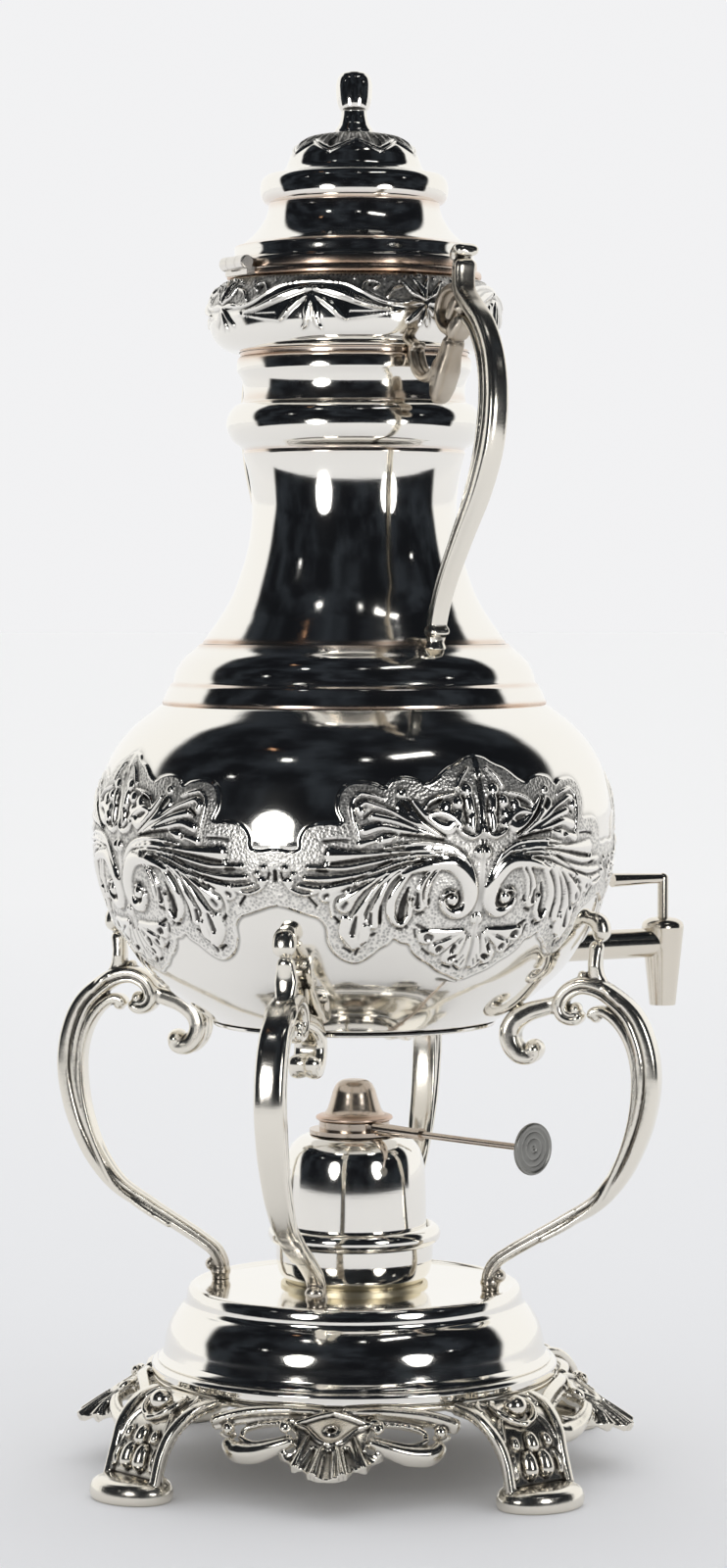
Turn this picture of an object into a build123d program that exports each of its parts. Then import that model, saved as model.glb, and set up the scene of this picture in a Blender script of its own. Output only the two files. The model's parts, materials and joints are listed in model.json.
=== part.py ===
"""A hot-water urn of the samovar kind, on four scrolled legs over a spirit burner.

Millimetres, +Z up, the tap along +X. The origin is under the middle of the whole
urn on the table, so the vessel's own axis stands a little behind it.
"""
from build123d import *
from math import asin, cos, degrees, radians, sin
import os

os.makedirs("parts", exist_ok=True)

# Sheet and fits
sheet = 1.2
thin_sheet = 0.8
running_gap = 0.05
seat_gap = 0.2
free_gap = 0.3
passing_gap = 0.4

# Heights, each the length of its own piece, from the table up
foot_height = 32.0
ring_height = 4.4
drum_height = 25.1
stand_gap = 92.5
bowl_height = 109.7
shoulder_height = 20.8
neck_height = 99.9
collar_height = 25.0
rim_height = 2.6
lid_height = 33.2
dome_height = 14.3
finial_height = 21.0

ring_floor = foot_height
ring_top = ring_floor + ring_height
drum_top = ring_top + drum_height
bowl_floor = drum_top + stand_gap
bowl_seam = bowl_floor + bowl_height
neck_foot = bowl_seam + shoulder_height
neck_top = neck_foot + neck_height
collar_top = neck_top + collar_height
rim_top = collar_top + rim_height
lid_foot = rim_top + seat_gap
lid_top = lid_foot + lid_height
dome_top = lid_top + dome_height

# Stand: the feet, panels and drum keep their places from the ring's edge
ring_radius = 70.5
ring_bore = ring_radius - 10.5
ring_web = ring_radius - 6.5
foot_spread = 26.1
shield_spread = 26.5
drum_step = 1.9
drum_draw = 2.6
drum_shoulder = 7.0
drum_rim_width = 3.0
pad_radius = ring_radius + foot_spread
pad_width = 30.0
pad_depth = 20.0
pad_height = 8.0
foot_ball = 5.2
foot_turn = 9.7
web_depth = 3.0
shield_reach = ring_radius + shield_spread
shield_width = 34.0
shield_depth = 16.5
strap_radius = 2.2
swag_radius = 2.6
drum_lip = ring_radius - drum_step
drum_radius = drum_lip - drum_draw
drum_crown = drum_radius - drum_shoulder
drum_rim = drum_crown - drum_rim_width
drum_rim_rise = 1.0

# Vessel
bottom_radius = 49.0
belly_radius = 89.3
belly_height = 67.0
seam_radius = 66.4
step_radius = 63.0
neck_foot_radius = 53.5
waist_radius = 35.2
waist_height = 44.5
bulge_foot_radius = 38.6
bulge_radius = 44.1
bulge_height = 16.5
bulge_foot_height = 65.8
cove_radius = 38.3
neck_ring_radius = 40.1
neck_ring_height = 7.1
collar_foot_radius = 40.7
collar_radius = 50.2
rim_radius = 43.5
mouth_radius = 38.5

# Lid
lid_edge_radius = 42.0
lid_edge_height = 3.8
lid_band_radius = 41.2
lid_waist_radius = 29.4
lid_waist_height = 21.8
bead_radius = 32.4
lid_neck_radius = 28.9
dome_flange_radius = 27.3
dome_radius = 22.1
finial_foot_radius = 6.6
finial_neck_radius = 4.2
finial_bulb_radius = 6.2
finial_cap_radius = 3.8
stud_radius = 1.9
stud_length = 5.0
nut_flats = 7.0
nut_height = 2.6

# Hinge, at the back
hinge_turn = 180.0
hinge_radius = 46.2
hinge_rise = 1.5
knuckle_radius = 2.4
knuckle_width = 6.0
side_knuckle_width = 4.5
hinge_pin_radius = 1.0
hinge_pin_head = 0.8

# Handles
handle_turns = {"handle_front": -90.0, "handle_back": 84.0}
handle_reach = 95.0
handle_thick = 5.4
handle_wide = 6.4
handle_tip_share = 0.505
handle_tip_rise = 3.3
handle_tip_ball = 3.7
handle_foot_radius = neck_foot_radius + 0.5
tongue_wide = 6.0

# Legs
leg_turns = (45.0, 135.0, 225.0, 315.0)
leg_swell = 14.6
leg_bow = belly_radius + leg_swell
leg_knee_rise = 15.2
leg_foot_radius = drum_rim - 7.8
leg_thick = 8.4
leg_wide = 9.6
leg_end_thick = 4.7
leg_end_wide = 6.0
leg_knuckle = 4.2
scroll_radius = 5.8
scroll_wide = 8.6
scroll_inset = 6.1
scroll_drop = 6.8
finger_ball = 3.6

# Tap, at the front
tap_stand = 39.7
tap_reach = belly_radius + tap_stand
tap_rise = 21.5
tap_tube_radius = 5.3
tap_bore = 3.2
barrel_radius = 7.65
barrel_end_radius = 4.7
barrel_drop = 22.7
barrel_rise = 5.5
cap_rise = 3.7
plug_radius = 5.2
plug_end_radius = 3.3
plug_bore = 2.3
rose_radius = 8.0
rose_edge = 1.2
rose_stand = 3.1
rose_top_share = 0.767
rose_reach = bottom_radius + rose_top_share * (belly_radius - bottom_radius) + rose_stand
lever_stem_radius = 1.95
lever_rise = 14.0
lever_length = 22.0
lever_root_radius = 1.7
lever_end_radius = 2.5

# Burner, on the drum
burner_foot_radius = 23.5
cup_radius = 27.3
cup_height = 14.6
bead_ring_radius = 30.0
bead_ring_height = 6.7
font_radius = 25.0
font_shoulder_height = 9.4
font_top_radius = 18.5
font_height = 51.7
font_mouth_radius = 9.5
seat_ring_width = 1.8
seat_ring_height = 1.1
gallery_radius = 15.6
gallery_height = 1.4
gallery_cup_radius = 12.2
gallery_cup_height = 2.8
snuffer_flange_radius = 13.2
snuffer_radius = 11.3
snuffer_shoulder_radius = 7.0
snuffer_height = 14.1
snuffer_lip = 1.0
wick_wide = 9.0
wick_thick = 2.4
wick_length = 44.0
wick_stand = 1.2
wick_tube_length = 22.0
wick_tube_stand = 2.0
knob_turn = -75.0
knob_reach = 86.4
knob_radius = 8.7
knob_thick = 1.2
spindle_radius = 1.15
sleeve_reach = 36.0
sleeve_radius = 2.3
sleeve_end_radius = 1.75
sleeve_collar_radius = 2.2
sleeve_collar_width = 1.6
wheel_radius = 1.9
wheel_width = 2.4

# The stand reaches back as far as a pad, and the tap reaches forward
stand_reach = pad_radius + pad_depth / 2
axis_x = -(tap_reach + barrel_radius - stand_reach) / 2
axis = Axis((axis_x, 0, 0), (0, 0, 1))


def upright(turn):
    """Plane that stands on the vessel's axis: x runs outward at that turn, y runs up."""
    way = radians(turn)
    return Plane(origin=(axis_x, 0, 0), x_dir=(cos(way), sin(way), 0), z_dir=(sin(way), -cos(way), 0))


def level(height):
    """Level plane across the vessel's axis."""
    return Plane(origin=(axis_x, 0, height), x_dir=(1, 0, 0), z_dir=(0, 0, 1))


def place(turn, radius, height, aside=0.0):
    """Point at a turn about the axis, moved aside along the tangent."""
    way = radians(turn)
    return (axis_x + radius * cos(way) - aside * sin(way), radius * sin(way) + aside * cos(way), height)


def run(start, end, *shares):
    """Points from start to end; each share says how far out and how far up a point has come."""
    start, span = Vector(start), Vector(end) - Vector(start)
    return [start, *[start + Vector(out * span.X, up * span.Y) for out, up in shares], start + span]


def bowl_side(inset):
    """Outside of the bowl from its flat bottom to the seam, or its inside for an inset."""
    foot = (bottom_radius - inset / 2, bowl_floor + inset / 2)
    belly = (belly_radius - inset, bowl_floor + belly_height)
    seam = (seam_radius - inset, bowl_seam)
    lower = run(foot, belly, (0.345, 0.145), (0.715, 0.39), (0.91, 0.66))
    upper = run(belly, seam, (0.06, 0.3), (0.17, 0.51), (0.33, 0.67), (0.585, 0.827))
    return lower, upper


def bowl_line(inset):
    """Draws the bowl's side into the open line and gives its two ends."""
    lower, upper = bowl_side(inset)
    low = Spline(*lower, tangents=((1, 0.45), (0, 1)))
    Spline(*upper, tangents=((0, 1), (-1, 0.75)))
    return low @ 0, upper[-1]


def shoulder_points(inset):
    """Corner points of the two steps that carry the neck."""
    step = bowl_seam + 0.37 * shoulder_height
    return (
        (seam_radius - inset, bowl_seam),
        (step_radius - inset, step),
        (neck_foot_radius - inset, neck_foot),
    )


def shoulder_line(inset):
    """Draws the shoulder into the open line: a step ring, then a round ring."""
    seam, step, top = shoulder_points(inset)
    ring = Line(seam, (step[0] + 0.6, step[1] - 0.5))
    corner = Line(ring @ 1, step)
    round_ring = ThreePointArc(corner @ 1, (0.35 * top[0] + 0.65 * step[0], step[1] + 0.62 * (top[1] - step[1])), top)
    return ring @ 0, round_ring @ 1


def neck_line(inset):
    """Draws the neck into the open line: flare, waist, bulge, cove and ring."""
    foot = (neck_foot_radius - 0.6 - inset, neck_foot)
    waist = (waist_radius - inset, neck_foot + waist_height)
    crease = (bulge_foot_radius - inset, neck_foot + bulge_foot_height)
    cove = (cove_radius - inset, crease[1] + bulge_height + 3.6)
    ring_foot = (neck_ring_radius - inset, neck_top - neck_ring_height)
    flare = Spline(
        *run(foot, waist, (0.44, 0.24), (0.77, 0.55)),
        tangents=((-1, 1.1), (0, 1)),
    )
    Spline(waist, crease, tangents=((0, 1), (0.24, 1)))
    bulge_side = (bulge_radius - inset, crease[1] + 0.55 * bulge_height)
    bulge = ThreePointArc(crease, bulge_side, (cove[0] + 0.4, crease[1] + bulge_height))
    Spline(bulge @ 1, cove, ring_foot, tangents=((-0.3, 1), (0.5, 1)))
    ring = Line(ring_foot, (neck_ring_radius - inset, neck_top))
    return flare @ 0, ring @ 1


def collar_line(inset):
    """Draws the bulging collar under the mouth into the open line."""
    foot = (collar_foot_radius - inset, neck_top)
    side = (collar_radius - inset, neck_top + 0.5 * collar_height)
    top = (rim_radius - 0.3 - inset, collar_top)
    low = Spline(*run(foot, side, (0.62, 0.2), (0.83, 0.42)), tangents=((1, 0.25), (0, 1)))
    Spline(*run(side, top, (0.2, 0.42), (0.5, 0.72)), tangents=((0, 1), (-1, 0.7)))
    return low @ 0, top


def turned_wall(draw, wall):
    """Closed outline between a drawn line and the same line moved in by the wall."""
    with BuildLine() as outline:
        foot, top = draw(0)
        inner_foot, inner_top = draw(wall)
        Line(foot, inner_foot)
        Line(top, inner_top)
    make_face(outline.edges())


def turned_core(draw):
    """Closed outline from a drawn line in to the axis."""
    with BuildLine() as outline:
        foot, top = (Vector(end) for end in draw(0))
        Polyline(foot, (0, foot.Y), (0, top.Y), top)
    make_face(outline.edges())


def save(piece, label):
    piece.part.label = label
    export_step(piece.part, f"parts/{label}.step")


def save_turned(piece, turn, label):
    """Saves a copy of a piece that was made at turn 0, turned about the vessel's axis."""
    copy = piece.part.rotate(axis, turn)
    copy.label = label
    export_step(copy, f"parts/{label}.step")


# The vessel

with BuildPart() as core:
    for draw_line in (bowl_line, shoulder_line, neck_line, collar_line):
        with BuildSketch(upright(0)):
            turned_core(draw_line)
        revolve(axis=axis)

with BuildPart() as bowl:
    with BuildSketch(upright(0)):
        turned_wall(bowl_line, sheet)
    revolve(axis=axis)
    with BuildSketch(Plane(origin=(axis_x, 0, bowl_floor + tap_rise), x_dir=(0, 1, 0), z_dir=(1, 0, 0))):
        Circle(tap_tube_radius + running_gap)
    extrude(amount=belly_radius, mode=Mode.SUBTRACT)
save(bowl, "bowl")

with BuildPart() as bowl_bottom:
    with BuildSketch(level(bowl_floor)):
        Circle(bottom_radius)
    extrude(amount=-sheet)
    fillet(bowl_bottom.edges().group_by(Axis.Z)[0], sheet / 2)
save(bowl_bottom, "bowl_bottom")

with BuildPart() as shoulder_ring:
    with BuildSketch(upright(0)):
        turned_wall(shoulder_line, sheet)
    revolve(axis=axis)
save(shoulder_ring, "shoulder_ring")

with BuildPart() as neck:
    with BuildSketch(upright(0)):
        turned_wall(neck_line, sheet)
    revolve(axis=axis)
save(neck, "neck")

with BuildPart() as collar:
    with BuildSketch(upright(0)):
        turned_wall(collar_line, sheet)
    revolve(axis=axis)
save(collar, "collar")

with BuildPart() as mouth_rim:
    with BuildSketch(level(collar_top)):
        Circle(rim_radius)
        Circle(mouth_radius, mode=Mode.SUBTRACT)
    extrude(amount=rim_height)
    fillet(mouth_rim.edges().group_by(Axis.Z)[-1].sort_by(SortBy.RADIUS)[-1], rim_height / 4)
save(mouth_rim, "mouth_rim")


# The lid

def lid_line(inset):
    """Draws the lid's side into the open line: edge, band, waist and bead."""
    edge = lid_edge_radius - inset
    band_foot = lid_foot + lid_edge_height
    waist = (lid_waist_radius - inset, lid_foot + lid_waist_height)
    skirt = Polyline((edge, lid_foot), (edge, band_foot), (lid_band_radius - inset, band_foot),
                     (lid_band_radius - inset, band_foot + 2.4))
    sweep_in = Spline(*run(skirt @ 1, waist, (0.48, 0.36), (0.86, 0.72)), tangents=((-1, 0.7), (-0.15, 1)))
    bead_foot = Line(sweep_in @ 1, (lid_waist_radius - inset, waist[1] + 1.6))
    bead = ThreePointArc(bead_foot @ 1, (bead_radius - inset, waist[1] + 6.2), (lid_neck_radius - inset, lid_top))
    return skirt @ 0, bead @ 1


with BuildPart() as lid_shell:
    with BuildSketch(upright(0)):
        turned_wall(lid_line, sheet)
    revolve(axis=axis)
    with BuildSketch(level(lid_top)):
        Circle(lid_neck_radius - sheet / 2)
        Circle(dome_radius, mode=Mode.SUBTRACT)
    extrude(amount=-sheet)
save(lid_shell, "lid_shell")


def dome_line(inset):
    """Draws the embossed dome into the open line."""
    flange = (dome_flange_radius - inset, lid_top)
    crown = (finial_foot_radius, dome_top - inset)
    side = (dome_radius - inset, lid_top + 0.4 * dome_height)
    foot = Line(flange, (flange[0] - 2.4, lid_top + sheet))
    rise = Spline(foot @ 1, side, tangents=((-1, 0.3), (-0.3, 1)))
    Spline(*run(side, crown, (0.13, 0.38), (0.45, 0.8)), tangents=((-0.3, 1), (-1, 0.1)))
    return foot @ 0, crown


with BuildPart() as lid_dome:
    with BuildSketch(upright(0)):
        turned_wall(dome_line, sheet)
    revolve(axis=axis)
    with BuildSketch(level(dome_top)):
        Circle(finial_foot_radius + sheet / 4)
        Circle(stud_radius + running_gap, mode=Mode.SUBTRACT)
    extrude(amount=-sheet)
save(lid_dome, "lid_dome")

with BuildPart() as finial:
    with BuildSketch(upright(0)):
        with BuildLine():
            foot = (finial_foot_radius, dome_top)
            tip = (finial_cap_radius, dome_top + finial_height)
            neck_side = (finial_neck_radius, dome_top + 0.4 * finial_height)
            bulb_side = (finial_bulb_radius, dome_top + 0.74 * finial_height)
            Spline(foot, neck_side, bulb_side, tip, tangents=((-0.6, 1), (-1, 0.5)))
            Polyline(tip, (0, tip[1]), (0, dome_top - stud_length), (stud_radius, dome_top - stud_length),
                     (stud_radius, dome_top), foot)
        make_face()
    revolve(axis=axis)
save(finial, "finial")

with BuildPart() as finial_nut:
    with BuildSketch(level(dome_top - sheet)):
        RegularPolygon(nut_flats / 2, 6, major_radius=False)
        Circle(stud_radius + running_gap, mode=Mode.SUBTRACT)
    extrude(amount=-nut_height)
save(finial_nut, "finial_nut")


# The hinge

hinge_height = rim_top + hinge_rise
hinge_cross = Plane(
    origin=place(hinge_turn, hinge_radius, hinge_height),
    x_dir=(cos(radians(hinge_turn)), sin(radians(hinge_turn)), 0),
    z_dir=(sin(radians(hinge_turn)), -cos(radians(hinge_turn)), 0),
)
side_knuckle_place = knuckle_width / 2 + free_gap / 2 + side_knuckle_width / 2


def leaf_bar(width, inner_radius, low, high):
    """Bar that joins a knuckle to the vessel or the lid, drawn across the hinge."""
    with BuildSketch(hinge_cross) as bar:
        with Locations(((inner_radius - hinge_radius) / 2, (low + high) / 2 - hinge_height)):
            Rectangle(hinge_radius - inner_radius, high - low)
    extrude(bar.sketch, amount=width / 2, both=True)


with BuildPart() as lid_hinge_leaf:
    leaf_bar(knuckle_width, lid_waist_radius, lid_foot + seat_gap, lid_foot + lid_edge_height - seat_gap)
    with BuildSketch(hinge_cross):
        Circle(knuckle_radius)
    extrude(amount=knuckle_width / 2, both=True)
    with BuildSketch(level(lid_foot)):
        Circle(lid_edge_radius)
    extrude(amount=lid_edge_height, mode=Mode.SUBTRACT)
    with BuildSketch(hinge_cross):
        Circle(hinge_pin_radius + running_gap)
    extrude(amount=knuckle_width, both=True, mode=Mode.SUBTRACT)
save(lid_hinge_leaf, "lid_hinge_leaf")

with BuildPart() as rim_hinge_leaf:
    full = 2 * side_knuckle_place + side_knuckle_width
    with BuildSketch(hinge_cross):
        with Locations(((mouth_radius - hinge_radius) / 2, (collar_top + rim_top) / 2 - hinge_height)):
            Rectangle(hinge_radius - mouth_radius, rim_height)
        Circle(knuckle_radius)
    extrude(amount=full / 2, both=True)
    with BuildSketch(hinge_cross):
        Circle(knuckle_radius + free_gap)
    extrude(amount=knuckle_width / 2 + free_gap / 2, both=True, mode=Mode.SUBTRACT)
    with BuildSketch(level(collar_top)):
        Circle(rim_radius)
    extrude(amount=rim_height, mode=Mode.SUBTRACT)
    with BuildSketch(hinge_cross):
        Circle(hinge_pin_radius)
    extrude(amount=full, both=True, mode=Mode.SUBTRACT)
save(rim_hinge_leaf, "rim_hinge_leaf")

with BuildPart() as hinge_pin:
    pin_half = side_knuckle_place + side_knuckle_width / 2
    with BuildSketch(hinge_cross):
        Circle(hinge_pin_radius)
    extrude(amount=pin_half, both=True)
    for way in (-1, 1):
        with BuildSketch(hinge_cross.offset(way * pin_half)):
            Circle(hinge_pin_radius + hinge_pin_head)
        extrude(amount=way * hinge_pin_head)
save(hinge_pin, "hinge_pin")


# Castings that bend: legs and handles

def limb(route, sizes):
    """Loft of oval sections along a route in the upright plane at turn 0; sizes are thickness and width."""
    side = upright(0)
    path = Edge.make_spline([side.from_local_coords((r, z, 0)) for r, z in route])
    sections = []
    for step, (thick, wide) in enumerate(sizes):
        share = step / (len(sizes) - 1)
        with BuildSketch(Plane(origin=path @ share, x_dir=side.z_dir, z_dir=path % share)) as section:
            Ellipse(wide / 2, thick / 2)
        sections.append(section.sketch)
    loft(sections)


def scroll(centre, radius, width):
    """Round scroll end that lies across the limb."""
    side = upright(0)
    seat = Plane(origin=side.from_local_coords((centre[0], centre[1], -width / 2)), x_dir=side.x_dir,
                 z_dir=side.z_dir)
    with BuildSketch(seat) as end:
        Circle(radius)
    extrude(end.sketch, amount=width)


def ball(centre, radius):
    with Locations(place(0, *centre)):
        Sphere(radius)


def leg_casting():
    """One scrolled leg from the drum's top to the bowl's side, made at turn 0."""
    foot = drum_top
    knee = bowl_floor + leg_knee_rise

    def under(out, up):
        """Point beside the bowl: shares of the way from its bottom's edge to its belly, and of its height."""
        return bottom_radius + out * (belly_radius - bottom_radius), bowl_floor + up * bowl_height

    def down(out, up):
        """Point along the leg: shares of the way from its foot to its bow, and of the gap that it spans."""
        return leg_foot_radius + out * (leg_bow - leg_foot_radius), foot + up * stand_gap

    crest = under(0.888, 0)[0]
    curl = (crest - scroll_inset, knee - scroll_drop)
    with BuildPart() as casting:
        limb(
            [
                (crest, knee - 0.5), (belly_radius + 0.527 * leg_swell, knee - leg_knee_rise / 2),
                down(1, 0.79), down(0.864, 0.507), down(0.7235, 0.364), down(0.2513, 0.191), down(0, 0.0605),
            ],
            [(leg_thick, leg_wide), (leg_thick, leg_wide), (leg_thick - 0.6, leg_wide - 0.6),
             (leg_thick - 1.4, leg_wide - 1.6), (leg_end_thick + 1, leg_end_wide + 1),
             (leg_end_thick, leg_end_wide), (leg_end_thick, leg_end_wide)],
        )
        ball((leg_foot_radius, foot + 0.8 * leg_knuckle), leg_knuckle)
        scroll(curl, scroll_radius, scroll_wide)
        limb(
            [(under(0.876, 0)[0], knee), under(0.883, 0.219), under(0.96, 0.319)],
            [(leg_thick - 1, leg_wide - 1), (leg_thick - 2, leg_wide - 2.4), (leg_thick - 2, leg_wide - 3)],
        )
        ball(under(0.965, 0.323), finger_ball)
        limb(
            [(curl[0] + 0.6, curl[1] + 0.6), under(0.422, 0.0547), under(0.184, 0.0091), under(0.107, -0.0547)],
            [(leg_thick - 1.5, leg_wide - 1), (leg_thick - 2, leg_wide - 2), (leg_thick - 2.4, leg_wide - 2.6),
             (leg_thick - 3.2, leg_wide - 3)],
        )
        scroll(under(0.184, -0.0748), scroll_radius - 2.2, scroll_wide - 2)
        add(core.part, mode=Mode.SUBTRACT)
        with BuildSketch(level(drum_top)):
            Circle(belly_radius)
        extrude(amount=-leg_bow, mode=Mode.SUBTRACT)
    return casting


leg = leg_casting()
for number, leg_turn in enumerate(leg_turns, 1):
    save_turned(leg, leg_turn, f"leg_{number}")


def handle_casting():
    """One handle at turn 0: a bowed limb with a finger at the top and a scrolled tongue under it."""
    foot = neck_foot

    def along(out, up):
        """Point beside the neck: shares of the way from the handle's foot to its reach, and of the neck's height."""
        return handle_foot_radius + out * (handle_reach - handle_foot_radius), foot + up * neck_height

    tip = (along(handle_tip_share, 0)[0], rim_top + handle_tip_rise)
    with BuildPart() as casting:
        limb(
            [along(0, -0.006), along(0.171, 0.182), along(0.756, 0.4955), along(1, 0.826), along(0.7, 1.084),
             along(0.4463, 1.246), tip],
            [(handle_thick - 1.2, handle_wide - 1.6), (handle_thick - 0.8, handle_wide - 1),
             (handle_thick, handle_wide), (handle_thick + 0.8, handle_wide + 1.2), (handle_thick, handle_wide),
             (handle_thick, handle_wide + 1), (handle_thick, handle_wide)],
        )
        ball(tip, handle_tip_ball)
        limb(
            [along(0.488, 1.144), along(0.317, 1.119), along(0.1585, 1.044)],
            [(handle_thick, tongue_wide), (handle_thick, tongue_wide), (handle_thick - 1, tongue_wide)],
        )
        limb(
            [along(0.39, 1.076), along(0.1366, 0.934), along(-0.0244, 0.816)],
            [(handle_thick, tongue_wide), (handle_thick + 1.6, tongue_wide + 1.4), (handle_thick - 1, tongue_wide - 1)],
        )
        limb(
            [along(0.0976, 0.919), (neck_ring_radius + 8.4, neck_top - 11), (neck_ring_radius - 1, neck_top - 4)],
            [(handle_thick, tongue_wide), (handle_thick - 1, tongue_wide), (handle_thick - 1, tongue_wide)],
        )
        collar_seat = Plane(origin=place(0, handle_foot_radius + 1.2, foot + 3.4), x_dir=upright(0).x_dir,
                            z_dir=(0, 0, 1))
        with BuildSketch(collar_seat):
            Rectangle(handle_wide, handle_wide + 1.0)
        extrude(amount=-4.4)
        add(core.part, mode=Mode.SUBTRACT)
    return casting


handle = handle_casting()
for label, handle_turn in handle_turns.items():
    save_turned(handle, handle_turn, label)


# The tap

tap_height = bowl_floor + tap_rise
tap_centre = place(0, tap_reach, 0)[0]
barrel_top = tap_height + barrel_rise
barrel_foot = tap_height - barrel_drop


def across(reach):
    """Plane square to the tap's tube, at a reach from the vessel's axis."""
    return Plane(origin=(axis_x + reach, 0, tap_height), x_dir=(0, 1, 0), z_dir=(1, 0, 0))


def tap_level(height):
    return Plane(origin=(tap_centre, 0, height), x_dir=(1, 0, 0), z_dir=(0, 0, 1))


def cone(low, high, low_radius, high_radius, mode=Mode.ADD):
    """Cone about the tap's upright axis."""
    with BuildSketch(tap_level(low)) as foot:
        Circle(low_radius)
    with BuildSketch(tap_level(high)) as head:
        Circle(high_radius)
    loft([foot.sketch, head.sketch], mode=mode)


with BuildPart() as tap_rose:
    with BuildSketch(across(bottom_radius)):
        Circle(rose_radius)
        Circle(tap_tube_radius + running_gap, mode=Mode.SUBTRACT)
    extrude(amount=rose_reach - bottom_radius)
    add(core.part, mode=Mode.SUBTRACT)
    fillet(tap_rose.edges().group_by(Axis.X)[-1].sort_by(SortBy.RADIUS)[-1], rose_edge)
save(tap_rose, "tap_rose")

tube_start = seam_radius - 4
with BuildPart() as tap_body:
    with BuildSketch(across(tube_start)):
        Circle(tap_tube_radius)
    extrude(amount=tap_reach - tube_start)
    cone(barrel_foot, barrel_top, barrel_end_radius, barrel_radius)
    with BuildSketch(across(tube_start)):
        Circle(tap_bore)
    extrude(amount=tap_reach - tube_start, mode=Mode.SUBTRACT)
    cone(barrel_foot, barrel_top, plug_end_radius + running_gap, plug_radius + running_gap, mode=Mode.SUBTRACT)
save(tap_body, "tap_body")

with BuildPart() as tap_cap:
    with BuildSketch(Plane(origin=(tap_centre, 0, 0), x_dir=(1, 0, 0), z_dir=(0, -1, 0))):
        with BuildLine():
            crown = (lever_stem_radius + running_gap, barrel_top + cap_rise)
            dome = Spline((barrel_radius, barrel_top), (0.86 * barrel_radius, barrel_top + 0.62 * cap_rise), crown,
                          tangents=((0, 1), (-1, 0.12)))
            hollow = (plug_radius + free_gap, barrel_top + seat_gap + sheet)
            Polyline(crown, (crown[0], hollow[1]), hollow, (hollow[0], barrel_top), (barrel_radius, barrel_top))
        make_face()
    revolve(axis=Axis((tap_centre, 0, 0), (0, 0, 1)))
save(tap_cap, "tap_cap")

with BuildPart() as tap_plug:
    cone(barrel_foot, barrel_top, plug_end_radius, plug_radius)
    with BuildSketch(tap_level(barrel_top)):
        Circle(plug_radius)
    extrude(amount=sheet)
    with BuildSketch(tap_level(barrel_foot)):
        Circle(plug_bore)
    extrude(amount=barrel_drop, mode=Mode.SUBTRACT)
    with BuildSketch(Plane(origin=(tap_centre, 0, tap_height), x_dir=(1, 0, 0), z_dir=(0, 1, 0))):
        Circle(plug_bore)
    extrude(amount=barrel_radius, both=True, mode=Mode.SUBTRACT)
save(tap_plug, "tap_plug")

lever_height = barrel_top + cap_rise + lever_rise
with BuildPart() as tap_lever:
    with BuildSketch(tap_level(barrel_top + sheet)):
        Circle(lever_stem_radius)
    extrude(amount=lever_height - barrel_top - sheet)
    with Locations((tap_centre, 0, lever_height)):
        Sphere(lever_stem_radius)
    for reach, radius in ((0, lever_root_radius), (-lever_length, lever_end_radius)):
        with BuildSketch(Plane(origin=(tap_centre + reach, 0, lever_height), x_dir=(0, 1, 0), z_dir=(1, 0, 0))):
            Circle(radius)
    loft()
save(tap_lever, "tap_lever")


# The stand's base

with BuildPart() as base_drum:
    with BuildSketch(upright(0)):
        with BuildLine():
            lip = (drum_lip, ring_top)
            side = (drum_radius, ring_top + 0.18 * drum_height)
            crown = (drum_crown, drum_top - 0.24 * drum_height)
            edge = (drum_rim, drum_top + drum_rim_rise)
            Spline(lip, side, tangents=((-1, 0.35), (-0.1, 1)))
            Spline(side, (drum_radius - 1.9, ring_top + 0.52 * drum_height), crown, tangents=((-0.1, 1), (-1, 0.6)))
            Spline(crown, edge, tangents=((-0.3, 1), (-1, 0.2)))
            Polyline(edge, (drum_rim - 2.4, drum_top), (0, drum_top), (0, drum_top - sheet),
                     (drum_rim - sheet, drum_top - sheet))
            Spline((drum_rim - sheet, drum_top - sheet), (drum_crown - sheet, crown[1] - sheet),
                   (drum_radius - 2 * sheet, ring_top + 0.4 * drum_height), (drum_radius - sheet, ring_top))
            Line((drum_radius - sheet, ring_top), lip)
        make_face()
    revolve(axis=axis)
save(base_drum, "base_drum")

with BuildPart() as base_ring:
    with BuildSketch(level(ring_floor)):
        Circle(ring_radius)
        Circle(ring_bore, mode=Mode.SUBTRACT)
    extrude(amount=ring_height)
    fillet(base_ring.edges().group_by(Axis.Z)[-1].sort_by(SortBy.RADIUS)[-1], ring_height / 4)
save(base_ring, "base_ring")

foot_turns = [foot_turn + 90 * quarter for quarter in range(4)]
foot_half_turn = 14.0
bracket_wide = 34.0
strap_stand = 2.4
strap_gap_turn = 1.5
strap_end = 45 - degrees(asin(bracket_wide / 2 / (ring_radius + strap_stand))) - strap_gap_turn


def web(turn, half):
    """Arc of flat web under the ring, from which a casting hangs."""
    side = upright(turn - half)
    with BuildSketch(side) as section:
        with Locations(((ring_web + ring_radius - 1) / 2, ring_floor - web_depth / 2)):
            Rectangle(ring_radius - 1 - ring_web, web_depth)
    revolve(section.sketch, axis=axis, revolution_arc=2 * half)


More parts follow.
